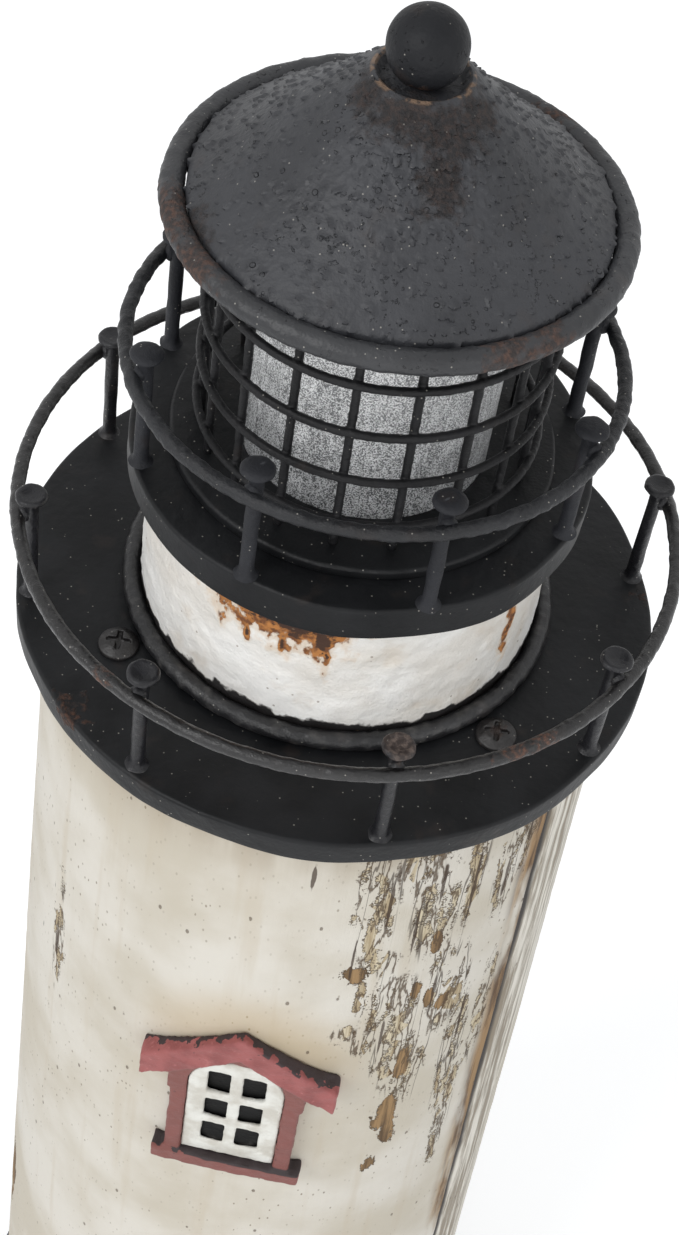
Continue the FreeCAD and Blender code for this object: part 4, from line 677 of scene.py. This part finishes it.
def casting_paint(name, tone, deep_tone, hood=None, chips=0.5):
    """Thick brushed paint on a casting. Given the height of the hood's lower edge, the faces that
    look up are black beside the wall, and what is below the hood is darker and browner: painted shade
    under the hood, and a browner red."""
    material, tree, shader = finish(name)
    clouds = noise_at(tree, 160.0, 6.0)
    base = blended(stepped(clouds, 0.36, 0.62), deep_tone, tone)
    lighter = [min(amount + 26, 255) for amount in tone]
    base = blended(stepped(noise_at(tree, 620.0, 6.0), 0.6, 0.72) * chips, base, lighter)
    if hood:
        facing_up = axes(tree, value(tree, "NewGeometry", output="Normal"))[2]
        x, y, z = axes(tree)
        middle_out = vectors(tree, "LENGTH", stretched_place(tree, (1, 1, 0)), output="Value")
        taper = (z - TOWER_BOTTOM * MM) * ((NECK_RADIUS - FOOT_RADIUS) / (TOWER_TOP - TOWER_BOTTOM))
        stand = middle_out - taper - FOOT_RADIUS * MM + ragged_at(tree, 380.0, 8.0, 0.009)
        below_edge = hood * MM - (z + abs(x + HOOD_MIDDLE * MM) * HOOD_SLOPE)
        below = stepped(below_edge, -0.0004, 0.0004)
        reach = stepped(x, -0.006, 0.012) * 0.0022 + below * 0.002 + 0.002
        black_top = stepped(facing_up, 0.15, 0.4) * (stand < reach)
        scuffs = use_effect(tree, specks_effect, Size=560.0, Share=0.12, Dot=0.16)
        # Below the hood the red is darker and browner: painted shade under the hood, and a browner red on the
        # jambs.
        base = layered(
            base, (below * 0.75, (112, 68, 60)), (black_top * 0.95, (34, 30, 32)),
            (scuffs * 0.6, (70, 40, 42))
        )
    lumps = use_effect(tree, lumps_effect, Size=420.0, Fine_Share=0.4)
    feed(shader, Base_Color=base, Roughness=clouds * 0.25 + 0.5, Normal=bumped(lumps, 0.35))
    return material


def thickly_painted(name, cad_nodes, grain, rounding, swell_size, swell_depth, material,
                    coat=0.0):
    """CAD pieces under thick paint: skinned over, corners rounded, faces gently uneven."""
    points, faces = [], []
    for cad_node in cad_nodes:
        mesh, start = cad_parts[cad_node].data, len(points)
        points += [tuple(vertex.co / MM) for vertex in mesh.vertices]
        faces += [tuple(start + index for index in face.vertices) for face in mesh.polygons]
    piece = new_piece(name, cad_nodes, points, faces, material)
    skin = piece.modifiers.new("skin", "REMESH")
    skin.mode = "VOXEL"
    skin.voxel_size = grain * MM
    softened = piece.modifiers.new("softened", "SMOOTH")
    softened.iterations = rounding
    softened.factor = 0.5
    bpy.context.view_layer.update()
    skinned = bpy.data.meshes.new_from_object(piece.evaluated_get(bpy.context.evaluated_depsgraph_get()))
    piece.modifiers.clear()
    piece.data = skinned
    swollen = []
    for vertex in skinned.vertices:
        out = coat + uneven(vertex.co / MM, swell_size, swell_depth, 2.6)
        swollen.extend(vertex.co + vertex.normal * out * MM)
    skinned.vertices.foreach_set("co", swollen)
    skinned.shade_smooth()


RED, DEEP_RED = (154, 86, 84), (132, 68, 66)
window_red = casting_paint("surround_red", RED, DEEP_RED, hood=352.0)
door_frame_red = casting_paint("door_frame_red", RED, DEEP_RED, hood=94.0)
sash_white = casting_paint("sash_white", (222, 221, 214), (198, 194, 184), chips=0.2)
door_red = casting_paint("door_red", (122, 52, 50), (92, 38, 36))
for name, cad_node, grain, rounding, size, depth, slot, material in (
    ("window_frame", "window_surround", 0.42, 9, 3.0, 0.3, "casting_red", window_red),
    ("door_frame", "door_surround", 0.45, 9, 3.0, 0.3, "casting_red", door_frame_red),
    ("window_bars", "window_sash", 0.26, 30, 2.0, 0.14, "casting_white", sash_white),
    ("door_planks", "door_leaf", 0.4, 2, 3.0, 0.12, "door_paint", door_red),
):
    thickly_painted(name, [cad_node], grain, rounding, size, depth, material)
dress("window_backing", black_paint("backing_black", (9, 9, 10), 0.5, dust=0.0, sheen=0.1))
knob_brass, tree, shader = finish("knob_brass")
dull = noise_at(tree, 900.0, 5.0)
brass = blended(dull, (120, 88, 40), (196, 156, 84))
feed(shader, Base_Color=brass, Metallic=1.0, Roughness=dull * 0.3 + 0.25)
dress("door_knob", knob_brass)

# ---------------------------------------------------------------- lower gallery
# A spun steel lid is screwed to the tower's top disc. Nails welded upright on it carry a
# rail of rod. All of it is brushed with gloss black, and its edge is a little out of round.

LOWER_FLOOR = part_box("lower_gallery_pan")[1].z / MM
SHEET = 1.0
gallery_rust = [(-46.7, 75, 450, 7, 7, 3), (100, 75, 448, 8, 8, 4), (190, 60, 451, 10, 10, 3)]
# The light grey of its rubbed edges is a painted highlight along the lids' shoulders.
gallery_black = black_paint(
    "gallery_black", (26, 27, 29), 0.48, 90.0, 0.5, rust=gallery_rust,
    worn=(112, 112, 114), wear_from=0.56, dust=0.03, sheen=0.22
)


def eased(outline, corners, steps=5):
    """An outline of (radius, height) with the corners in {index: radius} rounded off."""
    points = []
    for index, point in enumerate(outline):
        if index not in corners:
            points.append(point)
            continue
        here = Vector(point)
        before = (Vector(outline[index - 1]) - here).normalized()
        after = (Vector(outline[(index + 1) % len(outline)]) - here).normalized()
        half = before.angle(after) / 2
        back = corners[index] / math.tan(half)
        centre = here + (before + after).normalized() * (corners[index] / math.sin(half))
        first, last = here + before * back - centre, here + after * back - centre
        for step in range(steps + 1):
            arm = first.lerp(last, step / steps).normalized() * corners[index]
            points.append(tuple(centre + arm))
    return points


def divided(outline, longest):
    """The same outline with no stretch longer than a given one."""
    points = []
    for (r1, z1), (r2, z2) in zip(outline, outline[1:] + outline[:1]):
        count = max(1, math.ceil(math.hypot(r2 - r1, z2 - z1) / longest))
        points += [(r1 + (r2 - r1) * k / count, z1 + (z2 - z1) * k / count) for k in range(count)]
    return points


def turned_piece(name, cad_node, outline, around, material, swell=None, body="lighthouse"):
    """A piece turned about the vertical from a closed outline. swell(turn, r, z) moves its points out."""
    points, faces, rows = [], [], len(outline)
    for step in range(around):
        turn = 360 * step / around
        for r, z in outline:
            points.append(on_round(turn, r + swell(turn, r, z) if swell and r > 0 else r, z))
        here, there = step * rows, (step + 1) % around * rows
        for row in range(rows):
            following = (row + 1) % rows
            if outline[row][0] > 0 or outline[following][0] > 0:
                faces.append((here + row, there + row, there + following, here + following))
    new_piece(name, [cad_node], points, faces, material, body=body)


def gallery_lid(name, cad_node, seed, bore=3.4):
    """The lid with a rounded shoulder, dented a little in its floor and along its edge."""
    low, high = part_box(cad_node)
    radius, top, foot = high.x / MM, high.z / MM, low.z / MM
    inside, ceiling = radius - SHEET, top - SHEET
    outline = [(bore, ceiling), (inside, ceiling), (inside, foot), (radius, foot), (radius, top), (bore, top)]
    outline = divided(eased(outline, {1: 0.3, 2: 0.3, 3: 0.3, 4: 0.9}), 1.6)

    def dented(turn, r, z):
        point = on_round(turn, r, z)
        reach = (r / radius) ** 4
        return min(uneven(point, 24, 0.9, seed) * reach, 0.35) + uneven(point, 6, 0.12, seed) * reach

    turned_piece(name, cad_node, outline, 300, gallery_black, dented)


def spindle(outline, around, middle, swell_depth, seed):
    """Points and faces of a small piece turned about its own vertical axis, top and foot closed."""
    points, faces = [], []
    rows = len(outline)
    for step in range(around):
        for r, z in outline:
            x, y, _ = on_round(360 * step / around, r, z)
            out = 1 + uneven((x + middle[0], y + middle[1], z), 1.6, swell_depth, seed) / max(r, 1)
            points.append((middle[0] + x * out, middle[1] + y * out, z))
    for step in range(around):
        here, there = step * rows, (step + 1) % around * rows
        faces += [(here + row, there + row, there + row + 1, here + row + 1) for row in range(rows - 1)]
    faces.append(tuple(step * rows for step in range(around))[::-1])
    faces.append(tuple(step * rows + rows - 1 for step in range(around)))
    return points, faces


NAIL_FOOT = ((2.7, 0), (2.2, 0.4), (1.8, 1.1), (1.62, 2.2))
NAIL_NECK = ((1.6, -1.2), (1.9, -0.5), (2.6, -0.1), (3.3, 0), (3.62, 0.35), (3.6, 0.7))
DISHED_HEAD = ((3.3, 1.25), (2.8, 1.45), (2.2, 1.2), (1.2, 0.85), (0.3, 0.75))
DOMED_HEAD = ((3.2, 1.2), (2.4, 1.52), (1.4, 1.66), (0.4, 1.7))
WELD = ((0.3, -2.1), (1.1, -1.6), (1.75, -0.8), (1.9, 0), (1.75, 0.8), (1.1, 1.6), (0.3, 2.1))


def raised(outline, height):
    return [(r, height + z) for r, z in outline]


def nails(name, cad_node, ring, first_turn, floor, rail_height, material, top):
    """Eight nails with a paint fillet at the foot, each with a bead of weld where it touches the rail."""
    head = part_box(cad_node)[1].z / MM - 1.7
    nail = raised(NAIL_FOOT, floor)
    nail += [(1.6, floor + 2.2 + (head - floor - 4) * share / 7) for share in range(1, 7)]
    nail += raised(NAIL_NECK + top, head)
    points, faces = [], []
    for number in range(8):
        turn = first_turn + 45 * number
        for outline, around, radius, depth, seed in (
            (nail, 28, ring, 0.22, number * 3.1),
            (raised(WELD, rail_height), 16, ring + 1.6, 0.4, number * 5.3),
        ):
            more, more_faces = spindle(outline, around, on_round(turn, radius, 0)[:2], depth, seed)
            faces += [tuple(len(points) + index for index in face) for face in more_faces]
            points += more
    new_piece(name, [cad_node], points, faces, material, 50)


def rod_ring(name, cad_node, material, lump, seed, wobble=0.25, around=420, section=16,
             body="lighthouse"):
    """A ring of rod with runs and beads of paint along it."""
    low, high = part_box(cad_node)
    wire = (high.z - low.z) / 2 / MM
    ring, height = high.x / MM - wire, (high.z + low.z) / 2 / MM
    points = []
    for step in range(around):
        turn = 360 * step / around
        bent = wobble * noise.noise(Vector((*on_round(turn, 1.4, 0)[:2], seed)))
        for corner in range(section):
            angle = 2 * math.pi * corner / section
            r, z = ring + bent + wire * math.cos(angle), height + wire * math.sin(angle)
            surface = Vector(on_round(turn, r, z))
            bead = lump * noise.noise(surface / 2.3 + Vector((seed, 0, 0)))
            bead += lump * 0.5 * noise.noise(surface / 0.9 + Vector((0, seed, 0)))
            r, z = ring + bent + (wire + bead) * math.cos(angle), height + (wire + bead) * math.sin(angle)
            points.append(on_round(turn, r, z))
    faces = [
        (step * section + corner, (step + 1) % around * section + corner,
         (step + 1) % around * section + (corner + 1) % section, step * section + (corner + 1) % section)
        for step in range(around) for corner in range(section)
    ]
    new_piece(name, [cad_node], points, faces, material, 180, body)


LOWER_RAIL = 477.2
gallery_lid("lower_lid", "lower_gallery_pan", 1.3)
rail_rust = [(turn, 75, LOWER_RAIL, wide, wide, tall) for turn, wide, tall in (
    (34, 6, 4), (40, 4, 4), (-37, 4, 3), (150, 8, 4)
)]
lower_rail_black = black_paint(
    "lower_rail_black", (27, 26, 27), 0.32, 500.0, 0.35, rust=rail_rust,
    worn=(78, 72, 68), wear_from=0.57, rust_high=(104, 68, 50)
)
rod_ring("lower_rod", "lower_rail", lower_rail_black, 0.2, 5.0, around=620)
lower_nail_black = black_paint(
    "lower_nail_black", (36, 36, 39), 0.32, 600.0, 0.3, wear_from=0.57,
    rust=[(14.4, 71.8, 483.4, 4.6, 4.6, 3.4)], rust_spread=0.9, rust_low=(62, 52, 48),
    rust_high=(112, 98, 90), sheen=0.3
)
nails("lower_nails", "lower_posts", 71.8, 14.4, LOWER_FLOOR, LOWER_RAIL, lower_nail_black, DISHED_HEAD)
screw_black = black_paint(
    "screw_black", (36, 34, 34), 0.42, lump_size=500.0, worn=(70, 64, 60), wear_from=0.56,
    rust_high=(56, 42, 36), rust=[(47.1, 55.5, 453, 3, 3, 2)]
)
thickly_painted("gallery_screw_heads", ["gallery_screws"], 0.3, 2, 1.5, 0.1,
                screw_black)

# ---------------------------------------------------------------- drum
# A rolled and welded sheet, brushed thickly with white. Rust has bled through under the
# upper gallery and run down the front. A black rod ring is welded round its foot.

DRUM_RADIUS, DRUM_TOP = 46.3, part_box("drum")[1].z / MM


def drum_paint(name):
    material, tree, shader = finish(name)
    clouds = noise_at(tree, 45.0, 6.0)
    white = blended(stepped(clouds, 0.38, 0.66), (246, 244, 240), (232, 227, 219))
    grubby = stepped(noise_at(tree, 110.0, 7.0), 0.52, 0.72)
    stains = [
        (-27, 487, 10, 10), (-18, 486, 11, 11), (-9, 486, 11, 11), (0, 484, 6, 11), (-33, 489, 5, 3),
        (8, 488, 6, 3), (0.5, 479, 2.0, 8), (-12, 480, 1.3, 5), (-22, 479, 1.5, 5), (56, 474, 2.6, 12),
        (160, 484, 7, 7), (-140, 486, 6, 6),
    ]
    near = nearness(tree, [(turn, DRUM_RADIUS, z, wide, wide, tall) for turn, z, wide, tall in stains])
    rusted = near + ragged_at(tree, 260.0, 8.0, 2.6, (1, 1, 0.7))
    tinted = stepped(rusted, 0.0, 0.5)
    orange = stepped(rusted, 0.42, 0.56)
    dark = stepped(rusted + ragged_at(tree, 800.0, 5.0, 1.0), 0.72, 0.95)
    orange_tone = blended(stepped(noise_at(tree, 520.0, 5.0), 0.36, 0.62), (112, 68, 38), (184, 122, 64))
    foot_black = 1.0 - stepped(axes(tree)[2] + ragged_at(tree, 180.0, 6.0, 0.008), 0.4562, 0.4572)
    dots = use_effect(tree, specks_effect, Size=520.0, Share=0.09, Dot=0.13)
    colour = layered(
        white, (grubby * 0.35, (206, 188, 164)), (tinted * 0.45, (204, 168, 124)), (orange, orange_tone),
        (dark, (64, 40, 26)), (foot_black, (40, 38, 38)), (dots * 0.6, (124, 104, 84))
    )
    relief = use_effect(tree, lumps_effect, Size=240.0, Fine_Share=0.35) - orange * 0.5
    feed(shader, Base_Color=colour, Roughness=tinted * 0.35 + 0.42, Normal=bumped(relief, 0.5))
    return material


def drum_swell(turn, r, z):
    point = on_round(turn, r, z)
    return uneven(point, 9, 0.4, 6.6) + uneven(point, 2.4, 0.3, 2.2) if r > DRUM_RADIUS - 0.5 else 0


drum_foot, drum_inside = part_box("drum")[0].z / MM, DRUM_RADIUS - 1.2
drum_outline = divided([
    (drum_inside, drum_foot), (DRUM_RADIUS, drum_foot), (DRUM_RADIUS, DRUM_TOP), (drum_inside, DRUM_TOP)
], 1.0)
drum_white = drum_paint("drum_white")
turned_piece("painted_drum", "drum", drum_outline, 300, drum_white, drum_swell)
foot_black = black_paint("foot_ring_black", (32, 32, 34), 0.4, 300.0, 0.4)
rod_ring("drum_foot_rod", "drum_foot_ring", foot_black, 0.25, 8.0)

# ---------------------------------------------------------------- upper gallery
# The same construction as the lower gallery, smaller, with a deeper skirt that caps the
# drum. Its nail heads are matt and domed, and the paint on its rail is thick and lumpy.

UPPER_FLOOR, UPPER_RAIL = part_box("upper_gallery_pan")[1].z / MM, 526.0
gallery_lid("upper_lid", "upper_gallery_pan", 7.7)
upper_rail_black = black_paint(
    "upper_rail_black", (34, 35, 38), 0.42, 700.0, 0.4, sheen=0.35,
    worn=(104, 104, 106), wear_from=0.565
)
rod_ring("upper_rod", "upper_rail", upper_rail_black, 0.28, 11.0, around=520)
upper_nail_black = black_paint(
    "upper_nail_black", (42, 43, 47), 0.6, 600.0, 0.3, worn=(76, 78, 82),
    wear_from=0.58, sheen=0.25
)
nails("upper_nails", "upper_posts", 49.6, 22.5, UPPER_FLOOR, UPPER_RAIL, upper_nail_black, DOMED_HEAD)

# ---------------------------------------------------------------- lamp
# A moulded holder with a small round board carries three clear lamps with a warm tint,
# hidden inside the diffuser.

dress("led_holder", moulded_plastic("holder_plastic", (226, 225, 220), 0.45))
led_finish, tree, shader = finish("led_epoxy")
haze = noise_at(tree, 700.0, 3.0)
tint = blended(haze, (246, 238, 206), (230, 214, 164))
feed(shader, Base_Color=tint, Roughness=haze * 0.08 + 0.08, Coat_Weight=0.5)
dress("led_lamps", led_finish)

# ---------------------------------------------------------------- lantern
# A spun base ring holds a frosted tube with a sparkling silver-grey skin. Half-inch welded
# mesh is rolled round it, and black paint has filled the corners where its wires cross.

lantern_black = black_paint(
    "lantern_base_black", (24, 25, 27), 0.5, 260.0, 0.3, sheen=0.25, worn=(90, 90, 92)
)
low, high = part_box("lantern_base")
foot, edge, top = low.z / MM, high.x / MM, high.z / MM
BORE, GROOVE_IN, GROOVE_OUT, GROOVE_DEPTH = 22, 25.25, 27.56, 1.2
base_outline = [
    (BORE, foot), (edge, foot), (edge, top), (GROOVE_OUT, top), (GROOVE_OUT, top - GROOVE_DEPTH),
    (GROOVE_IN, top - GROOVE_DEPTH), (GROOVE_IN, top), (BORE, top),
]


def base_swell(turn, r, z):
    return uneven(on_round(turn, r, z), 14, 0.35, 3.0) * (r / 42) ** 6


base_outline = divided(eased(base_outline, {1: 0.5, 2: 0.9}), 1.5)
turned_piece("lantern_foot", "lantern_base", base_outline, 240, lantern_black, base_swell)


def frosted(name, bottom, top):
    material, tree, shader = finish(name)
    grain = noise_at(tree, 3000.0, 2.0)
    streaks = noise_at(tree, 700.0, 3.0, (1, 1, 0.3))
    pepper = stepped(grain + (streaks - 0.5) * 0.3, 0.38, 0.62)
    # Painted light and shade: the grain is lighter towards the tube's top, a painted highlight, and darker
    # towards its foot, painted shade.
    light = blended(pepper, (138, 139, 140), (255, 255, 255))
    shade = blended(pepper, (66, 67, 68), (208, 209, 210))
    base = blended(stepped(axes(tree)[2], bottom * MM, top * MM), shade, light)
    normal = bumped(grain + streaks, 0.12)
    feed(shader, Base_Color=base, Metallic=0.15, Roughness=grain * 0.3 + 0.3, Normal=normal)
    return material


low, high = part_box("diffuser")
tube, foot, top, corner, wall = 27.4, low.z / MM, high.z / MM, 4.0, 2
tube_outline = [
    (tube - wall, foot), (tube, foot), (tube, top), (0, top), (0, top - wall), (tube - wall, top - wall)
]
tube_outline = eased(tube_outline, {2: corner, 5: corner - wall}, steps=8)
silver_frost = frosted("silver_frost", foot, top - 6)
turned_piece("frosted_tube", "diffuser", tube_outline, 180, silver_frost)

cage_black = black_paint(
    "cage_black", (27, 27, 29), 0.5, 900.0, 0.2, worn=(60, 60, 62), wear_from=0.58,
    sheen=0.25
)
cage_nodes = ["cage_uprights"] + [f"cage_hoop_{number}" for number in range(1, 6)]
thickly_painted("mesh_cage", cage_nodes, 0.4, 2, 1.2, 0.12, cage_black, coat=0.32)

# ---------------------------------------------------------------- roof
# The roof is spun from one sheet, with a ring of rod welded round its skirt, and painted
# matt blue-black over grit. Rust has started in the cup and run down the front. Its colour is darkened almost
# to black: rust, and painted shade among the crumbs below the cup.

ROOF_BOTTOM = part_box("roof_cone")[0].z / MM
EDGE_TOP, CUP_TOP, CUP_BED = ROOF_BOTTOM + 4.5, ROOF_BOTTOM + 33.3, ROOF_BOTTOM + 31.1
EDGE_RADIUS, CUP_RIM, CUP_FLOOR, STUD_HOLE = 42.6, 9.6, 7.4, 2.1
CRUMB_CENTRE, CRUMB_REACH = on_round(14, 17, 588), 21
roof_rust_and_shade = [
    (0, 8.5, 596, 6, 9, 3), (-10, 12, 594, 9, 6, 5), (25, 13, 592, 9, 8, 7), (20, 20, 586, 5, 8, 8),
    (-52, 11, 594, 6, 5, 4), (60, 12, 593, 6, 6, 5), (-60, 44, 566, 4, 8, 4), (170, 30, 577, 10, 8, 6),
]
# Its rust tones are darkened almost to black: rust, and painted shade among the crumbs below the cup.
roof_black = black_paint(
    "roof_black", (50, 51, 55), 0.55, 160.0, 0.6, rust=roof_rust_and_shade, rust_spread=0.75,
    dust=0.025, worn=(84, 84, 86), wear_from=0.56, crumbs=0.1, rust_low=(30, 27, 27), rust_high=(56, 44, 39),
    chipped_above=(CUP_TOP - 0.5) * MM
)


def cone_line(start, end, count, bow):
    """Points along a slope that is bowed inward a little, as it comes off its former."""
    (r1, z1), (r2, z2) = start, end
    long = math.hypot(r2 - r1, z2 - z1)
    line = []
    for step in range(count + 1):
        share = step / count
        sag = bow * 4 * share * (1 - share) / long
        line.append((r1 + (r2 - r1) * share - (z2 - z1) * sag, z1 + (z2 - z1) * share + (r2 - r1) * sag))
    return line


def roof_swell(turn, r, z):
    if z < EDGE_TOP - 1 or r < 11:
        return 0
    point = Vector(on_round(turn, r, z))
    grit = min(max(0.0, noise.noise(point / 1.3) - 0.33) * 5.0, 0.7)
    clump = max(0.0, 1 - math.dist(point, CRUMB_CENTRE) / CRUMB_REACH)
    crumb = min(max(0.0, noise.noise(point / 1.4 + Vector((7, 3, 1))) - 0.05) * 4.0, 1.0) * clump
    return uneven(point, 13, 0.5, 1.1) + uneven(point, 4, 0.18, 5.0) + grit + crumb


roof_outline = [
    (EDGE_RADIUS - SHEET, ROOF_BOTTOM), (EDGE_RADIUS, ROOF_BOTTOM), (EDGE_RADIUS, EDGE_TOP - 1.0),
    (EDGE_RADIUS - 0.2, EDGE_TOP - 0.3),
    *cone_line((EDGE_RADIUS - 0.9, EDGE_TOP + 0.4), (CUP_RIM + 0.7, CUP_TOP - 0.5), 96, 0.45),
    (CUP_RIM + 0.2, CUP_TOP - 0.1), (CUP_RIM - 0.3, CUP_TOP), (CUP_RIM - 0.8, CUP_TOP - 0.3),
    (CUP_FLOOR + 0.4, CUP_BED + 0.3), (CUP_FLOOR - 0.2, CUP_BED), (STUD_HOLE, CUP_BED),
    (STUD_HOLE, CUP_BED - SHEET), (CUP_FLOOR + 0.7, CUP_BED - SHEET), (CUP_RIM + 1.3, CUP_TOP - 2.2),
    *cone_line((CUP_RIM + 1.6, CUP_TOP - 2.5), (EDGE_RADIUS - 1.4, EDGE_TOP - 0.6), 10, -0.45),
    (EDGE_RADIUS - SHEET, EDGE_TOP - 1.2),
]
turned_piece("spun_roof", "roof_cone", roof_outline, 480, roof_black, roof_swell, "roof")
rim_rust = [
    (-70, 46, 565, 7, 10, 5), (-52, 47, 565, 8, 8, 5), (32, 45.5, 565, 7, 6, 4), (44, 45.5, 565, 5, 5, 4),
    (140, 45.5, 565, 7, 6, 4),
]
rim_black = black_paint(
    "rim_black", (46, 47, 50), 0.48, 260.0, 0.4, rust=rim_rust, rust_spread=0.6,
    worn=(92, 88, 84), wear_from=0.56, dust=0.03, crumbs=0.15
)
rod_ring("roof_rim_rod", "roof_rim", rim_black, 0.22, 14.0, 0.3, 480, 24, "roof")
inside_black = black_paint("roof_inside_black", (36, 36, 38), 0.6)
for cad_node in ("roof_seat_ring", "roof_collar"):
    dress(cad_node, inside_black)

# ---------------------------------------------------------------- ball on the roof
# A turned ball is screwed down into the cup by a stud, a washer and a nut, and painted
# with the roof. A little rust from the cup has reached its foot.

BALL_RADIUS, BALL_BORE = 8.0, 2.05
ball_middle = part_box("finial_ball")[1].z / MM - BALL_RADIUS
ball_outline = [(BALL_BORE, ball_middle - 7.73)]
for step in range(1, 46):
    angle = math.radians(-74 + 164 * step / 45)
    across = max(BALL_RADIUS * math.cos(angle), 0.0)
    ball_outline.append((across, ball_middle + BALL_RADIUS * math.sin(angle)))
ball_outline += [(0, ball_middle - 1.0), (BALL_BORE, ball_middle - 1.0)]
ball_black = black_paint(
    "ball_black", (27, 28, 31), 0.5, 200.0, 0.4, worn=(72, 71, 70), wear_from=0.57,
    dust=0.02, crumbs=0.1, sheen=0.2, rust=[(0, 6.5, ball_middle - 6.5, 6, 4, 2.4)]
)


def ball_swell(turn, r, z):
    return min(uneven(on_round(turn, r, z), 5, 0.22, 3.9), 0.1) if r > 3 else 0


turned_piece("roof_ball", "finial_ball", ball_outline, 96, ball_black, ball_swell, "roof")
stud_steel = steel("stud_steel", (132, 128, 120), 0.42, rust=0.25)
for cad_node in ("finial_stud", "finial_washer", "finial_nut"):
    dress(cad_node, stud_steel)
